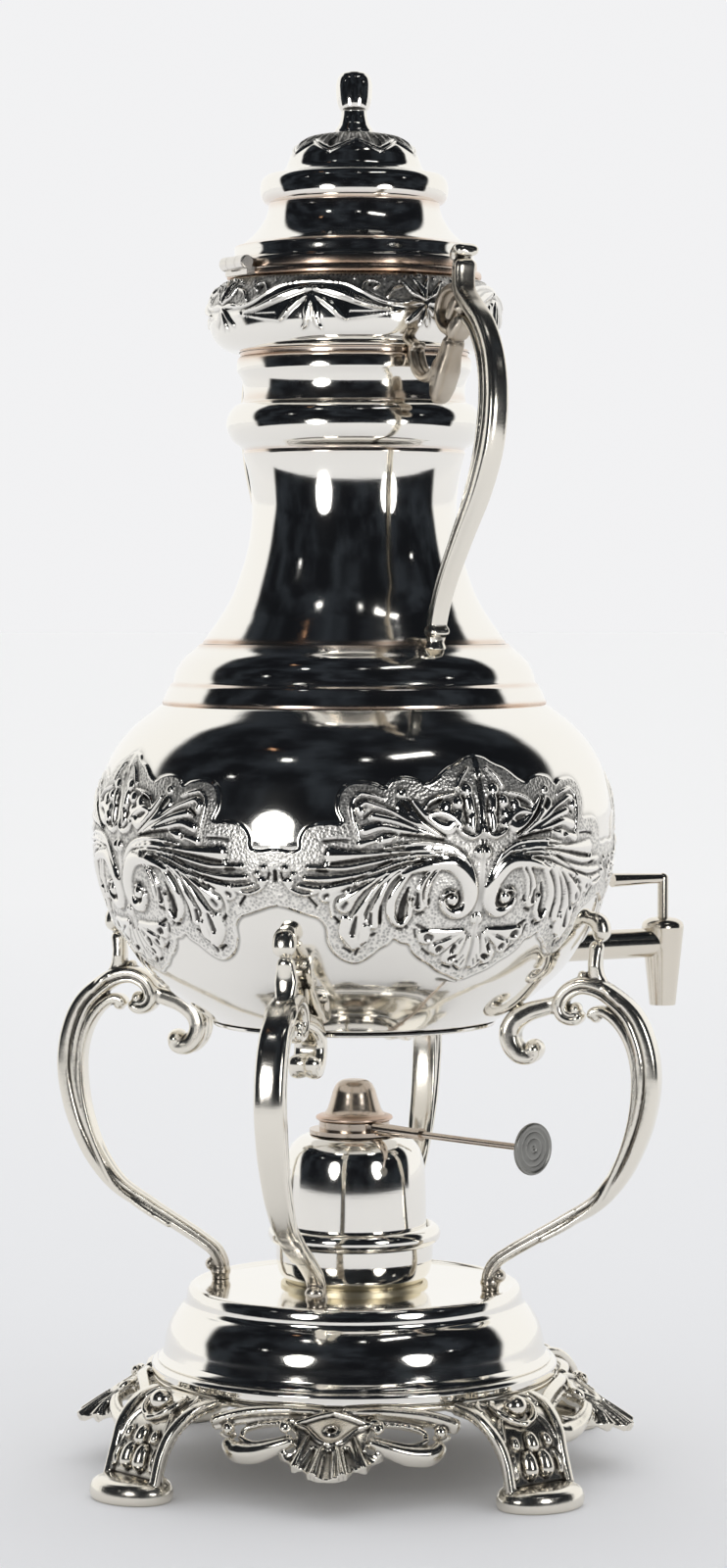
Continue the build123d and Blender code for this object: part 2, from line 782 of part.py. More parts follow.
def foot_casting():
    """One foot at turn 0: a bracket that drops from the ring to a domed pad, with a ball under its leaf."""
    bracket = [
        (ring_web + 3, ring_floor - 3.6), (ring_radius + 6.5, ring_floor - 3.4), (pad_radius - 11, ring_floor - 9.5),
        (pad_radius - 5, pad_height + 9), (pad_radius - 1.8, pad_height - 1),
    ]
    widths = (bracket_wide, bracket_wide - 3, bracket_wide - 6, bracket_wide - 9, bracket_wide - 9)
    side = upright(0)
    with BuildPart() as casting:
        with BuildSketch(Plane(origin=place(0, pad_radius, 0), x_dir=side.x_dir, z_dir=(0, 0, 1))):
            Ellipse(pad_depth / 2, pad_width / 2)
        extrude(amount=pad_height)
        fillet(casting.edges().group_by(Axis.Z)[-1], pad_height * 0.4)
        path = Edge.make_spline([side.from_local_coords((r, z, 0)) for r, z in bracket])
        for step, wide in enumerate(widths):
            share = step / (len(widths) - 1)
            with BuildSketch(Plane(origin=path @ share, x_dir=side.z_dir, z_dir=path % share)):
                RectangleRounded(wide, 6.4, 3.0)
        loft()
        ball((ring_radius + 8.6, ring_floor - 1.2), foot_ball)
        with BuildSketch(level(ring_floor)):
            Circle(ring_radius + free_gap)
        extrude(amount=ring_height * 2, mode=Mode.SUBTRACT)
        web(0, foot_half_turn)
    return casting


foot = foot_casting()
for number, foot_at in enumerate(foot_turns, 1):
    save_turned(foot, foot_at, f"foot_{number}")


def skirt_casting():
    """One pierced panel at turn 0: a scalloped shield with a strap and a hanging swag to either side."""
    side = upright(0)
    top = place(0, ring_radius + 0.5, ring_floor - 1.6)
    slope = Vector(*place(0, shield_reach, ring_floor - shield_depth - 1.6)) - Vector(*top)
    length = slope.length
    face = Plane(origin=top, x_dir=side.z_dir, z_dir=side.z_dir.cross(slope))
    half = shield_width / 2
    with BuildPart() as casting:
        with BuildSketch(face):
            with BuildLine():
                outline = [
                    (0.26 * half, -0.5), (0.98 * half, 0.24 * length), (0.72 * half, 0.44 * length),
                    (0.7 * half, 0.64 * length), (half, 0.8 * length), (0.66 * half, 0.93 * length),
                    (0.4 * half, 0.84 * length), (0.22 * half, length),
                ]
                Polyline(*outline, *[(-x, y) for x, y in reversed(outline)], close=True)
            make_face()
            with Locations((0, 0.36 * length)):
                Circle(1.3, mode=Mode.SUBTRACT)
        extrude(amount=3.0)
        for way in (-1, 1):
            strap = ThreePointArc(
                place(way * 1.5, ring_radius + 2, ring_floor - 3.4),
                place(way * 15, ring_radius + 1.2, ring_floor - 2.4),
                place(way * strap_end, ring_radius + strap_stand, ring_floor - 3.4),
            )
            with BuildSketch(Plane(origin=strap @ 0, z_dir=strap % 0)):
                Circle(strap_radius)
            sweep(path=strap)
            swag = ThreePointArc(
                place(way * 6, ring_radius + 9, ring_floor - 10.5),
                place(way * 18, ring_radius + 11, ring_floor - 15.5),
                place(way * (strap_end - 2), ring_radius + strap_stand + 1.2, ring_floor - 5.0),
            )
            with BuildSketch(Plane(origin=swag @ 0, z_dir=swag % 0)):
                Circle(swag_radius)
            sweep(path=swag)
        with BuildSketch(level(ring_floor)):
            Circle(belly_radius * 2)
        extrude(amount=ring_height * 2, mode=Mode.SUBTRACT)
        web(0, 45 - foot_half_turn)
        for way in (-45, 45):
            add(foot.part.rotate(axis, way), mode=Mode.SUBTRACT)
    return casting


skirt = skirt_casting()
for number, foot_at in enumerate(foot_turns, 1):
    save_turned(skirt, foot_at + 45, f"skirt_{number}")


# The burner

burner_floor = drum_top + seat_gap
cup_top = burner_floor + cup_height
font_floor = burner_floor + sheet
font_top = font_floor + font_height
gallery_top = font_top + gallery_height
gallery_cup_top = gallery_top + gallery_cup_height
snuffer_foot = gallery_cup_top + seat_gap
spindle_height = (gallery_top + gallery_cup_top) / 2


def ring(low, high, outer, inner):
    """Plain ring between two heights."""
    with BuildSketch(level(low)) as washer:
        Circle(outer)
        Circle(inner, mode=Mode.SUBTRACT)
    extrude(washer.sketch, amount=high - low)


with BuildPart() as burner_seat:
    seat_bore = burner_foot_radius + free_gap
    ring(drum_top, drum_top + seat_ring_height, seat_bore + seat_ring_width, seat_bore)
    fillet(burner_seat.edges().group_by(Axis.Z)[-1], seat_ring_height / 3)
save(burner_seat, "burner_seat")


def cup_line(inset):
    """Draws the burner cup's side into the open line."""
    foot = (burner_foot_radius - inset, burner_floor)
    top = (cup_radius - inset, cup_top)
    edge = Line(foot, (burner_foot_radius - inset, burner_floor + seat_ring_height))
    Spline(*run(edge @ 1, top, (0.6, 0.2), (0.9, 0.45)), tangents=((0.5, 1), (0, 1)))
    return foot, top


with BuildPart() as burner_cup:
    with BuildSketch(upright(0)):
        turned_wall(cup_line, sheet)
    revolve(axis=axis)
    ring(burner_floor, font_floor, burner_foot_radius, 0.5)
save(burner_cup, "burner_cup")

with BuildPart() as burner_bead:
    bore = font_radius + running_gap
    with BuildSketch(upright(0)):
        with BuildLine():
            low = (bead_ring_radius - 3, cup_top)
            high = (bead_ring_radius - 3, cup_top + bead_ring_height)
            ThreePointArc(low, (bead_ring_radius, cup_top + bead_ring_height / 2), high)
            Polyline(high, (bore, high[1]), (bore, cup_top), low)
        make_face()
    revolve(axis=axis)
save(burner_bead, "burner_bead")

shoulder_height_at = font_top - font_shoulder_height


def font_line(inset):
    """Draws the closed spirit font's side into the open line."""
    foot = (burner_foot_radius - 2 * sheet - inset, font_floor)
    belt = (font_radius - inset, font_floor + 10)
    low = Line(foot, belt)
    side = Line(low @ 1, (font_radius - inset, shoulder_height_at))
    dome = Spline(
        *run(side @ 1, (font_top_radius, font_top - inset), (0.28, 0.66)), tangents=((0, 1), (-1, 0.12))
    )
    top = (font_mouth_radius, font_top - inset)
    Line(dome @ 1, top)
    return foot, top


with BuildPart() as burner_font:
    with BuildSketch(upright(0)):
        turned_wall(font_line, thin_sheet)
    revolve(axis=axis)
    ring(font_floor, font_floor + thin_sheet, burner_foot_radius - 2 * sheet, 0.5)
save(burner_font, "burner_font")

spindle_aside = wick_thick / 2 + running_gap + wheel_radius
spindle_way = Plane(
    origin=place(knob_turn, 0, spindle_height, -spindle_aside),
    x_dir=(0, 0, 1),
    z_dir=(cos(radians(knob_turn)), sin(radians(knob_turn)), 0),
)


def wick_section(grow):
    """Flat wick's section, set across the spindle, grown on every side."""
    Rectangle(wick_wide + 2 * grow, wick_thick + 2 * grow, rotation=knob_turn)


tube_wall = 0.5
tube_clear = free_gap
tube_top = gallery_cup_top + wick_tube_stand

with BuildPart() as burner_gallery:
    ring(font_top, gallery_top, gallery_radius, font_mouth_radius - 2)
    ring(gallery_top, gallery_cup_top, gallery_cup_radius, gallery_cup_radius - 2 * sheet)
    ring(font_top, gallery_top, font_mouth_radius - 1, 0.5)
    ring(font_top - 3, font_top, font_mouth_radius - running_gap, font_mouth_radius - sheet)
    boss_end = snuffer_flange_radius + passing_gap
    with BuildSketch(spindle_way.offset(gallery_cup_radius - sheet)):
        Rectangle(gallery_cup_height - 0.2, 2 * sleeve_radius)
    extrude(amount=boss_end - gallery_cup_radius + sheet)
    with BuildSketch(spindle_way):
        Circle(spindle_radius + running_gap)
    extrude(amount=boss_end + sheet, mode=Mode.SUBTRACT)
    with BuildSketch(level(font_top)):
        wick_section(tube_clear + tube_wall)
    extrude(amount=gallery_top - font_top, mode=Mode.SUBTRACT)
    with BuildSketch(spindle_way.offset(-wheel_width / 2 - free_gap)):
        Circle(wheel_radius + free_gap)
    extrude(amount=wheel_width + 2 * free_gap, mode=Mode.SUBTRACT)
save(burner_gallery, "burner_gallery")

with BuildPart() as wick_tube:
    with BuildSketch(level(tube_top)):
        wick_section(tube_clear + tube_wall)
        Rectangle(wick_wide + 2 * tube_clear, wick_thick + 2 * tube_clear, rotation=knob_turn, mode=Mode.SUBTRACT)
    extrude(amount=-wick_tube_length)
    with BuildSketch(spindle_way.offset(-wheel_width / 2 - free_gap)):
        Circle(wheel_radius + free_gap)
    extrude(amount=wheel_width + 2 * free_gap, mode=Mode.SUBTRACT)
save(wick_tube, "wick_tube")

with BuildPart() as wick:
    with BuildSketch(level(tube_top + wick_stand)):
        wick_section(0)
    extrude(amount=-wick_length)
save(wick, "wick")

with BuildPart() as spindle_sleeve:
    with BuildSketch(spindle_way.offset(boss_end)):
        Circle(sleeve_radius)
    with BuildSketch(spindle_way.offset(sleeve_reach)):
        Circle(sleeve_end_radius)
    loft()
    with BuildSketch(spindle_way.offset(sleeve_reach - sleeve_collar_width)):
        Circle(sleeve_collar_radius)
    extrude(amount=sleeve_collar_width)
    with BuildSketch(spindle_way.offset(boss_end)):
        Circle(spindle_radius + running_gap)
    extrude(amount=sleeve_reach, mode=Mode.SUBTRACT)
    with BuildSketch(level(font_top)):
        Circle(gallery_radius)
    extrude(amount=gallery_height, mode=Mode.SUBTRACT)
save(spindle_sleeve, "spindle_sleeve")

with BuildPart() as knob_spindle:
    with BuildSketch(spindle_way.offset(-wheel_width)):
        Circle(spindle_radius)
    extrude(amount=knob_reach + wheel_width)
save(knob_spindle, "knob_spindle")

with BuildPart() as knob_disc:
    with BuildSketch(spindle_way.offset(knob_reach)):
        Circle(knob_radius)
    extrude(amount=knob_thick)
    fillet(knob_disc.edges(), knob_thick / 4)
save(knob_disc, "knob_disc")

with BuildPart() as wick_wheel:
    with BuildSketch(spindle_way.offset(-wheel_width / 2)):
        Circle(wheel_radius)
        with PolarLocations(wheel_radius, 12):
            Circle(0.25, mode=Mode.SUBTRACT)
        Circle(spindle_radius, mode=Mode.SUBTRACT)
    extrude(amount=wheel_width)
save(wick_wheel, "wick_wheel")


def snuffer_line(inset):
    """Draws the snuffer's cone into the open line."""
    foot = (snuffer_radius - inset, snuffer_foot)
    flank = (snuffer_shoulder_radius - inset, snuffer_foot + 0.8 * snuffer_height)
    crown = (0, snuffer_foot + snuffer_height - inset)
    side = Spline(foot, flank, crown, tangents=((-0.7, 1), (-1, 0)))
    return side @ 0, crown


with BuildPart() as snuffer_cap:
    with BuildSketch(upright(0)):
        turned_wall(snuffer_line, thin_sheet)
    revolve(axis=axis)
    ring(snuffer_foot, snuffer_foot + snuffer_lip, snuffer_flange_radius, snuffer_radius - thin_sheet)
save(snuffer_cap, "snuffer_cap")
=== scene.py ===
"""Looks of the silver-plated hot-water urn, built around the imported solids.

Sizes in this script are millimetres until a mesh is made. Turns are degrees
about the vessel's axis, 0 towards the tap.
"""

import json
import math

import bpy
import numpy as np
from mathutils import Matrix, Vector


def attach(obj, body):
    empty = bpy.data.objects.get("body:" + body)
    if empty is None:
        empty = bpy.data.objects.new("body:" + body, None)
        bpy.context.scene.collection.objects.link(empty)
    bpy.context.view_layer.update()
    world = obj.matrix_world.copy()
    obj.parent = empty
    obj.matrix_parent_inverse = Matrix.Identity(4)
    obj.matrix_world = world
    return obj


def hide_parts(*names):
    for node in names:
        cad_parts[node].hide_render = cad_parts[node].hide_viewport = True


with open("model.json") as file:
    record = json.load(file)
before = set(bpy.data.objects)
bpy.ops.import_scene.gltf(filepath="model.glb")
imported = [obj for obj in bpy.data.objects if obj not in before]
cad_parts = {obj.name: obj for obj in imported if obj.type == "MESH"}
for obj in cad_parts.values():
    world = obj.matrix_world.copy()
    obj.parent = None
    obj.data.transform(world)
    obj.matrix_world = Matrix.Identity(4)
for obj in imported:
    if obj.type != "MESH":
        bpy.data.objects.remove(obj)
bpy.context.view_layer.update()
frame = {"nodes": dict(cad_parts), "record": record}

MM = 0.001
AXIS_X = -15.025  # the vessel's axis stands here in the shared frame
CAMERA_TURN = -120.0


# Meshes

def smooth(points, step=0.6):
    """Points along a smooth curve through the given ones."""
    given = np.array(points, float)
    if len(given) == 2:
        count = max(2, int(np.linalg.norm(given[1] - given[0]) / step) + 1)
        return given[0] + np.linspace(0, 1, count)[:, None] * (given[1] - given[0])
    full = np.vstack([2 * given[0] - given[1], given, 2 * given[-1] - given[-2]])
    out = []
    for a, b, c, d in zip(full[:-3], full[1:-2], full[2:-1], full[3:]):
        t0, t1 = 0.0, max(np.linalg.norm(b - a), 1e-6) ** 0.5
        t2 = t1 + max(np.linalg.norm(c - b), 1e-6) ** 0.5
        t3 = t2 + max(np.linalg.norm(d - c), 1e-6) ** 0.5
        count = max(1, int(math.ceil(np.linalg.norm(c - b) / step)))
        t = np.linspace(t1, t2, count + 1)[:-1, None]
        ab = (t1 - t) / (t1 - t0) * a + (t - t0) / (t1 - t0) * b
        bc = (t2 - t) / (t2 - t1) * b + (t - t1) / (t2 - t1) * c
        cd = (t3 - t) / (t3 - t2) * c + (t - t2) / (t3 - t2) * d
        abc = (t2 - t) / (t2 - t0) * ab + (t - t0) / (t2 - t0) * bc
        bcd = (t3 - t) / (t3 - t1) * bc + (t - t1) / (t3 - t1) * cd
        out.append((t2 - t) / (t2 - t1) * abc + (t - t1) / (t2 - t1) * bcd)
    return np.vstack([*out, given[-1:]])


def profile(*lines, step=0.6, corner=0.35):
    """One line from several smooth ones, each from the last one's end, with small rounded corners."""
    whole = smooth(lines[0], step)
    for before, line in zip(lines, lines[1:]):
        part = smooth([before[-1], *line], step)
        tip = (whole[-1] + part[0]) / 2
        whole = whole[np.linalg.norm(whole - tip, axis=1) > corner] if len(whole) > 2 else whole[:1]
        part = part[np.linalg.norm(part - tip, axis=1) > corner] if len(part) > 2 else part[1:]
        start, end = (tip + (place - tip) / np.linalg.norm(place - tip) * corner for place in (whole[-1],
                                                                                               part[0]))
        t = np.linspace(0, 1, 5)[:, None]
        bend = (1 - t) ** 2 * start + 2 * t * (1 - t) * tip + t ** 2 * end
        whole = np.vstack([whole, bend, part])
    return whole


def run_lengths(line):
    """Distance of each point from the first, along the line."""
    return np.concatenate([[0], np.cumsum(np.linalg.norm(np.diff(line, axis=0), axis=1))])


def points_at(line, run, wanted):
    """Points of a flat line at the wanted run lengths."""
    return np.stack([np.interp(wanted, run, line[:, 0]), np.interp(wanted, run, line[:, 1])], -1)


def along_line(line, wanted):
    return points_at(line, run_lengths(line), wanted)


def level_quads(grid):
    """Quads between neighbouring rows of a grid of point numbers that closes sideways."""
    return np.stack([grid[:-1], np.roll(grid[:-1], -1, 1), np.roll(grid[1:], -1, 1), grid[1:]],
                    -1).reshape(-1, 4)


def closed_skin(rings, falling=False):
    """Closed shape round rows of points, capped at both ends; falling is for rows from the top down."""
    grid = np.arange(rings.shape[0] * rings.shape[1]).reshape(rings.shape[:2])
    quads, first, last = level_quads(grid), grid[0][::-1], grid[-1]
    if falling:
        quads, first, last = quads[:, [0, 3, 2, 1]], first[::-1], last[::-1]
    return rings.reshape(-1, 3), [*quads.tolist(), first.tolist(), last.tolist()]


def add_object(name, data):
    thing = bpy.data.objects.new(name, data)
    bpy.context.scene.collection.objects.link(thing)
    return thing


def new_object(name, points, faces, sharp=40.0):
    """Object from points in millimetres; faces is an array of quads or a list of polygons."""
    mesh = bpy.data.meshes.new(name)
    points = np.asarray(points, float)
    if isinstance(faces, np.ndarray):
        mesh.vertices.add(len(points))
        mesh.vertices.foreach_set("co", (points * MM).ravel())
        mesh.loops.add(faces.size)
        mesh.loops.foreach_set("vertex_index", faces.ravel())
        mesh.polygons.add(len(faces))
        mesh.polygons.foreach_set("loop_start", np.arange(0, faces.size, faces.shape[1]))
        mesh.update(calc_edges=True)
    else:
        mesh.from_pydata((points * MM).tolist(), [], faces)
        mesh.update()
    mesh.validate()
    mesh.shade_smooth()
    if sharp:
        mesh.set_sharp_from_angle(angle=math.radians(sharp))
    return add_object(name, mesh)


def dress(thing, body, material, nodes=()):
    """Gives a piece its body, its material and the nodes that it stands for."""
    thing.data.materials.clear()
    thing.data.materials.append(material)
    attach(thing, body)
    if nodes:
        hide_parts(*nodes)
    return thing


def paint(mesh, name, values):
    """Writes one number per vertex, which a material reads by name."""
    layer = mesh.attributes.new(name, "FLOAT", "POINT")
    layer.data.foreach_set("value", np.asarray(values, float).ravel())


def read(items, key, kind=float, width=3):
    """Rows of numbers read from all items of a mesh."""
    values = np.zeros(len(items) * width, kind)
    items.foreach_get(key, values)
    return values.reshape(-1, width)


def runs_downward(outline):
    """Whether a closed outline of (radius, height) goes round clockwise."""
    radius, height = outline.T
    return np.sum(radius * np.roll(height, -1) - np.roll(radius, -1) * height) < 0


def lathe(name, outline, centre=(AXIS_X, 0.0), turns=256, shift=None):
    """Turned solid from a closed outline of (radius, height); shift moves its points along their normals."""
    outline = np.asarray(outline, float)
    count = len(outline)
    if runs_downward(outline):
        outline = outline[::-1]
        shift = None if shift is None else shift[::-1]
    angle = np.arange(turns) * 2 * math.pi / turns
    radius, height = outline[:, :1], outline[:, 1:]
    if shift is not None:
        along = np.roll(outline, -1, 0) - np.roll(outline, 1, 0)
        along /= np.linalg.norm(along, axis=1)[:, None] + 1e-9
        radius = radius + shift * along[:, 1:]
        height = height - shift * along[:, :1]
    radius, height = (np.broadcast_to(values, (count, turns)) for values in (radius, height))
    points = np.stack([centre[0] + radius * np.cos(angle), centre[1] + radius * np.sin(angle), height], -1)
    grid = np.arange(count * turns).reshape(count, turns)
    return new_object(name, points.reshape(-1, 3), level_quads(np.vstack([grid, grid[:1]])))


# Materials

class Nodes:
    """A node tree that is being filled."""

    def __init__(self, owner):
        owner.use_nodes = True
        self.tree = owner.node_tree
        self.tree.nodes.clear()

    def add(self, kind, inputs=(), **settings):
        """New node; inputs pairs its inputs with a number, a colour, a vector or another node's output."""
        new = self.tree.nodes.new("ShaderNode" + kind)
        for key, value in settings.items():
            setattr(new, key, value)
        for key, value in dict(inputs).items():
            socket = new.inputs[key]
            if isinstance(value, bpy.types.NodeSocket):
                self.tree.links.new(value, socket)
            else:
                socket.default_value = (*value, 1) if socket.type == "RGBA" else value
        return new

    def maths(self, operation, *values, clamp=False):
        return self.add("Math", enumerate(values), operation=operation, use_clamp=clamp).outputs[0]

    def blend(self, share, a, b):
        return self.add("Mix", {"Factor": share, 6: a, 7: b}, data_type="RGBA").outputs[2]

    def ramp(self, value, low, high):
        """Two colours, low and high, blended by a value."""
        new = self.add("ValToRGB", {"Fac": value})
        for stop, color in zip(new.color_ramp.elements, (low, high)):
            stop.color = (*color, 1)
        return new.outputs["Color"]

    def surface(self, **inputs):
        """Shader and material output."""
        shader = self.add("BsdfPrincipled", {key.replace("_", " "): value for key, value in inputs.items()})
        self.add("OutputMaterial", {"Surface": shader.outputs[0]})

    def bump(self, height, strength, distance):
        return self.add("Bump", {"Height": height, "Strength": strength, "Distance": distance}).outputs[0]


def metal(name, base, rough, worn=(0.80, 0.50, 0.36), dark=(0.035, 0.032, 0.03), scratches=1.0, grain=None):
    """Procedural metal: base colour, smudged gloss, wipe marks, worn seams, dark recesses, matted ground."""
    made = bpy.data.materials.new(name)
    tree = Nodes(made)
    maths, blend = tree.maths, tree.blend
    place = tree.add("TexCoord").outputs["Object"]
    oxide, copper, matted = (tree.add("Attribute", attribute_name=key).outputs["Fac"]
                             for key in ("oxide", "copper", "matted"))

    def noise(scale, detail, stretch=(1, 1, 1), seed=0.0):
        spread = tree.add("Mapping", {"Vector": place, "Scale": stretch, "Location": (seed, seed, seed)})
        return tree.add("TexNoise", {"Vector": spread.outputs[0], "Scale": scale,
                                     "Detail": detail}).outputs["Fac"]

    cloud = noise(38.0, 4.0)
    broad = noise(11.0, 3.0, seed=3.0)
    speck = noise(420.0, 3.0, seed=7.0)
    lines = noise(95.0, 3.0, stretch=(9.0, 9.0, 0.7), seed=2.0)
    cross = noise(85.0, 3.0, stretch=(1.0, 2.0, 12.0), seed=5.0)
    punch = tree.add("TexVoronoi", {"Vector": place, "Scale": 980.0}).outputs["Distance"]

    wear_edge = maths("MULTIPLY", copper, maths("ADD", maths("MULTIPLY", cloud, 1.6), 0.05), clamp=True)
    soot = maths("MULTIPLY", oxide, maths("ADD", maths("MULTIPLY", cloud, 0.7), 0.62), clamp=True)
    yellowed = tuple(value * share for value, share in zip(base, (0.94, 0.90, 0.80)))
    tone = blend(maths("MULTIPLY", broad, 0.5), base, yellowed)
    tone = blend(wear_edge, tone, worn)
    dots = maths("ADD", maths("MULTIPLY", punch, -1.5), 1.0, clamp=True)
    dull = tuple(value * 0.34 for value in base)
    tone = blend(maths("MULTIPLY", matted, dots, clamp=True), tone, dull)
    tone = blend(soot, tone, dark)

    smudge = 0.075 * scratches
    gloss = maths("ADD", maths("MULTIPLY", maths("ADD", cloud, broad), smudge), rough - smudge)
    gloss = maths("ADD", gloss, maths("MULTIPLY", matted, 0.26))
    gloss = maths("ADD", gloss, maths("MULTIPLY", maths("ADD", soot, wear_edge), 0.22), clamp=True)

    marks = maths("MULTIPLY", maths("ADD", lines, cross), 0.05 * scratches)
    relief = maths("ADD", maths("ADD", marks, maths("MULTIPLY", speck, 0.02 * scratches)),
                   maths("MULTIPLY", maths("MULTIPLY", punch, matted), -2.2))
    if grain:
        brushed = noise(260.0, 2.0, stretch=grain, seed=9.0)
        relief = maths("ADD", relief, maths("MULTIPLY", brushed, 0.9))
    tree.surface(Metallic=1.0, Base_Color=tone, Roughness=gloss, Normal=tree.bump(relief, 0.35, 0.0003))
    return made


def cloth_fibre(name, base):
    """Cotton of the wick: pale and ribbed along its length, with painted shade in the grooves between ribs.
    """
    made = bpy.data.materials.new(name)
    tree = Nodes(made)
    place = tree.add("TexCoord").outputs["Object"]
    ribs = tree.add("TexWave", {"Vector": place, "Scale": 260.0, "Distortion": 2.0}).outputs["Fac"]
    # painted shade: the low parts of the ribs get a darker colour
    tone = tree.ramp(ribs, tuple(value * 0.55 for value in base), base)
    tree.surface(Base_Color=tone, Roughness=0.95, Normal=tree.bump(ribs, 0.6, 0.0004))
    return made


silver = metal("plated silver", (0.94, 0.922, 0.888), 0.085, worn=(0.70, 0.46, 0.31))
cast = metal("cast silver", (0.90, 0.865, 0.795), 0.18, (0.46, 0.37, 0.27), (0.05, 0.043, 0.036),
             scratches=1.7)
nickel = metal("tap metal", (0.80, 0.75, 0.67), 0.17, worn=(0.74, 0.55, 0.38))
turned_steel = metal("turned disc metal", (0.33, 0.33, 0.32), 0.4, grain=(1.0, 1.0, 1.0))
brass = metal("old brass", (0.90, 0.82, 0.62), 0.34, dark=(0.06, 0.04, 0.02))
hinge_silver = metal("hinge silver", (0.93, 0.90, 0.86), 0.36)
sleeve_metal = metal("brown sleeve metal", (0.66, 0.57, 0.49), 0.22)
cotton = cloth_fibre("wick cotton", (0.82, 0.77, 0.66))

slot_looks = {"silver_plate": silver, "cast_silver": cast, "fitting_metal": nickel, "brass": brass,
              "wick_cotton": cotton}


def share_of(values):
    """Values held between 0 and 1."""
    return np.clip(values, 0, 1)


# The vessel: turned pieces

WALL = 1.2
BELLY = 89.3  # the bowl's widest radius
SEAM = 221.0  # and its height

bowl_lower = [(49.2, 154.3), (56, 158.6), (62.9, 163.7), (71.9, 171.9), (77.8, 180), (82.2, 188.2),
              (85.4, 197.6), (87.6, 204.5), (89.0, 213), (89.3, 221)]
bowl_upper = [(89.3, 221), (89.0, 227.6), (87.8, 234.3), (85.4, 242.8), (81.7, 249.6), (75.9, 256.3),
              (69.5, 261.4), (66.4, 263.7)]


def walled(outer, wall=WALL):
    """Closed outline of a wall from its outer line: the same line moved in, taken backwards."""
    along = np.gradient(outer, axis=0)
    along /= np.linalg.norm(along, axis=1)[:, None] + 1e-9
    inner = outer + np.stack([-along[:, 1], along[:, 0]], -1) * wall
    return np.vstack([outer, inner[-1:], inner[-4:0:-4], inner[:1]])


shoulder_line = profile(
    [(66.3, 263.75), (66.35, 264.6)],
    [(65.2, 267.4), (63.9, 270.0)],
    [(62.5, 271.2)],
    [(62.2, 273.2), (60.9, 276.6), (58.6, 279.7), (55.7, 282.2), (53.3, 284.4)],
)
neck_profile = profile(
    [(52.6, 284.5), (51.6, 286.0), (48.4, 290.6), (45.2, 295.4), (41.7, 302.0), (39.2, 308.8),
     (37.2, 315.6), (35.9, 322.6), (35.3, 329.0), (35.6, 336.5), (36.6, 343.2), (38.4, 350.0)],
    [(38.0, 350.9), (38.9, 351.8), (41.6, 353.8), (43.5, 357.0), (44.1, 360.2), (43.2, 363.6),
     (41.0, 366.2), (38.6, 367.3)],
    [(38.2, 369.4), (38.2, 372.4), (38.9, 375.4), (39.9, 377.3)],
    [(40.3, 378.0), (40.35, 381.6), (39.9, 382.6)],
    [(39.2, 383.2), (39.4, 384.35)],
)
rim_line = profile(
    [(43.1, 409.45), (43.7, 409.7), (43.75, 411.2), (43.2, 411.9), (42.4, 412.0), (38.7, 412.0)],
    [(38.5, 410.6), (38.7, 409.5)],
    [(43.1, 409.45)],
    corner=0.2,
)
lid_profile = profile(
    [(42.0, 412.25), (42.15, 412.8), (42.15, 415.4), (41.7, 416.0)],
    [(41.2, 416.3), (41.25, 420.2), (41.0, 420.7)],
    [(39.4, 421.0), (37.3, 422.4), (34.6, 424.8), (32.2, 427.8), (30.5, 430.9), (29.5, 434.0),
     (29.4, 435.4)],
    [(30.6, 435.7), (31.9, 437.4), (32.4, 440.3), (31.9, 443.2), (30.4, 445.0), (28.9, 445.4)],
    corner=0.25,
)
lid_inner = [(22.4, 445.4), (22.4, 444.2), (28.0, 444.1), (30.9, 442.4), (31.2, 440.0), (30.7, 437.6),
             (28.3, 436.4), (28.3, 433.6), (29.4, 430.2), (31.2, 427.0), (33.8, 423.9), (37.0, 421.2),
             (39.8, 419.9), (40.0, 416.6), (40.8, 415.6), (40.8, 412.25)]
finial_line = profile(
    [(6.6, 459.72), (6.7, 460.4), (6.1, 461.5), (5.1, 463.2), (4.5, 465.4), (4.4, 467.2)],
    [(5.2, 468.2), (5.9, 470.6), (6.2, 473.4), (6.2, 476.0), (5.7, 478.4), (4.7, 479.9)],
    [(3.6, 480.6), (1.8, 480.7), (0.4, 480.7)],
    step=0.35, corner=0.2,
)
drum_line = profile(
    [(68.2, 36.45), (68.5, 37.1), (67.6, 38.1), (66.5, 39.0)],
    [(66.0, 41.6), (65.6, 44.4), (64.6, 48.0), (62.6, 51.6), (60.6, 54.2), (59.0, 55.6)],
    [(58.5, 56.6), (58.3, 59.0), (57.6, 61.2), (56.4, 62.2), (55.2, 62.3)],
    [(54.2, 61.9), (53.4, 61.55), (50.0, 61.5)],
    corner=0.25,
)
ring_line = profile(
    [(60.0, 32.0), (70.2, 32.0)],
    [(70.5, 32.4), (70.5, 34.0)],
    [(70.5, 35.2), (69.7, 36.2), (68.8, 36.4)],
    [(60.0, 36.4)],
    corner=0.25,
)


def turned(name, outline, body, nodes, *bands, slot="silver_plate", material=silver, turns=256):
    """Turned piece; bands of (height, reach, strength) are where its plating is rubbed."""
    thing = lathe(name, outline, turns=turns)
    if bands:
        heights = read(thing.data.vertices, "co")[:, 2] / MM
        rubbed = sum(strength * np.exp(-((heights - height) / reach) ** 2)
                     for height, reach, strength in bands)
        paint(thing.data, "copper", share_of(rubbed))
    return dress(thing, body, material, nodes)


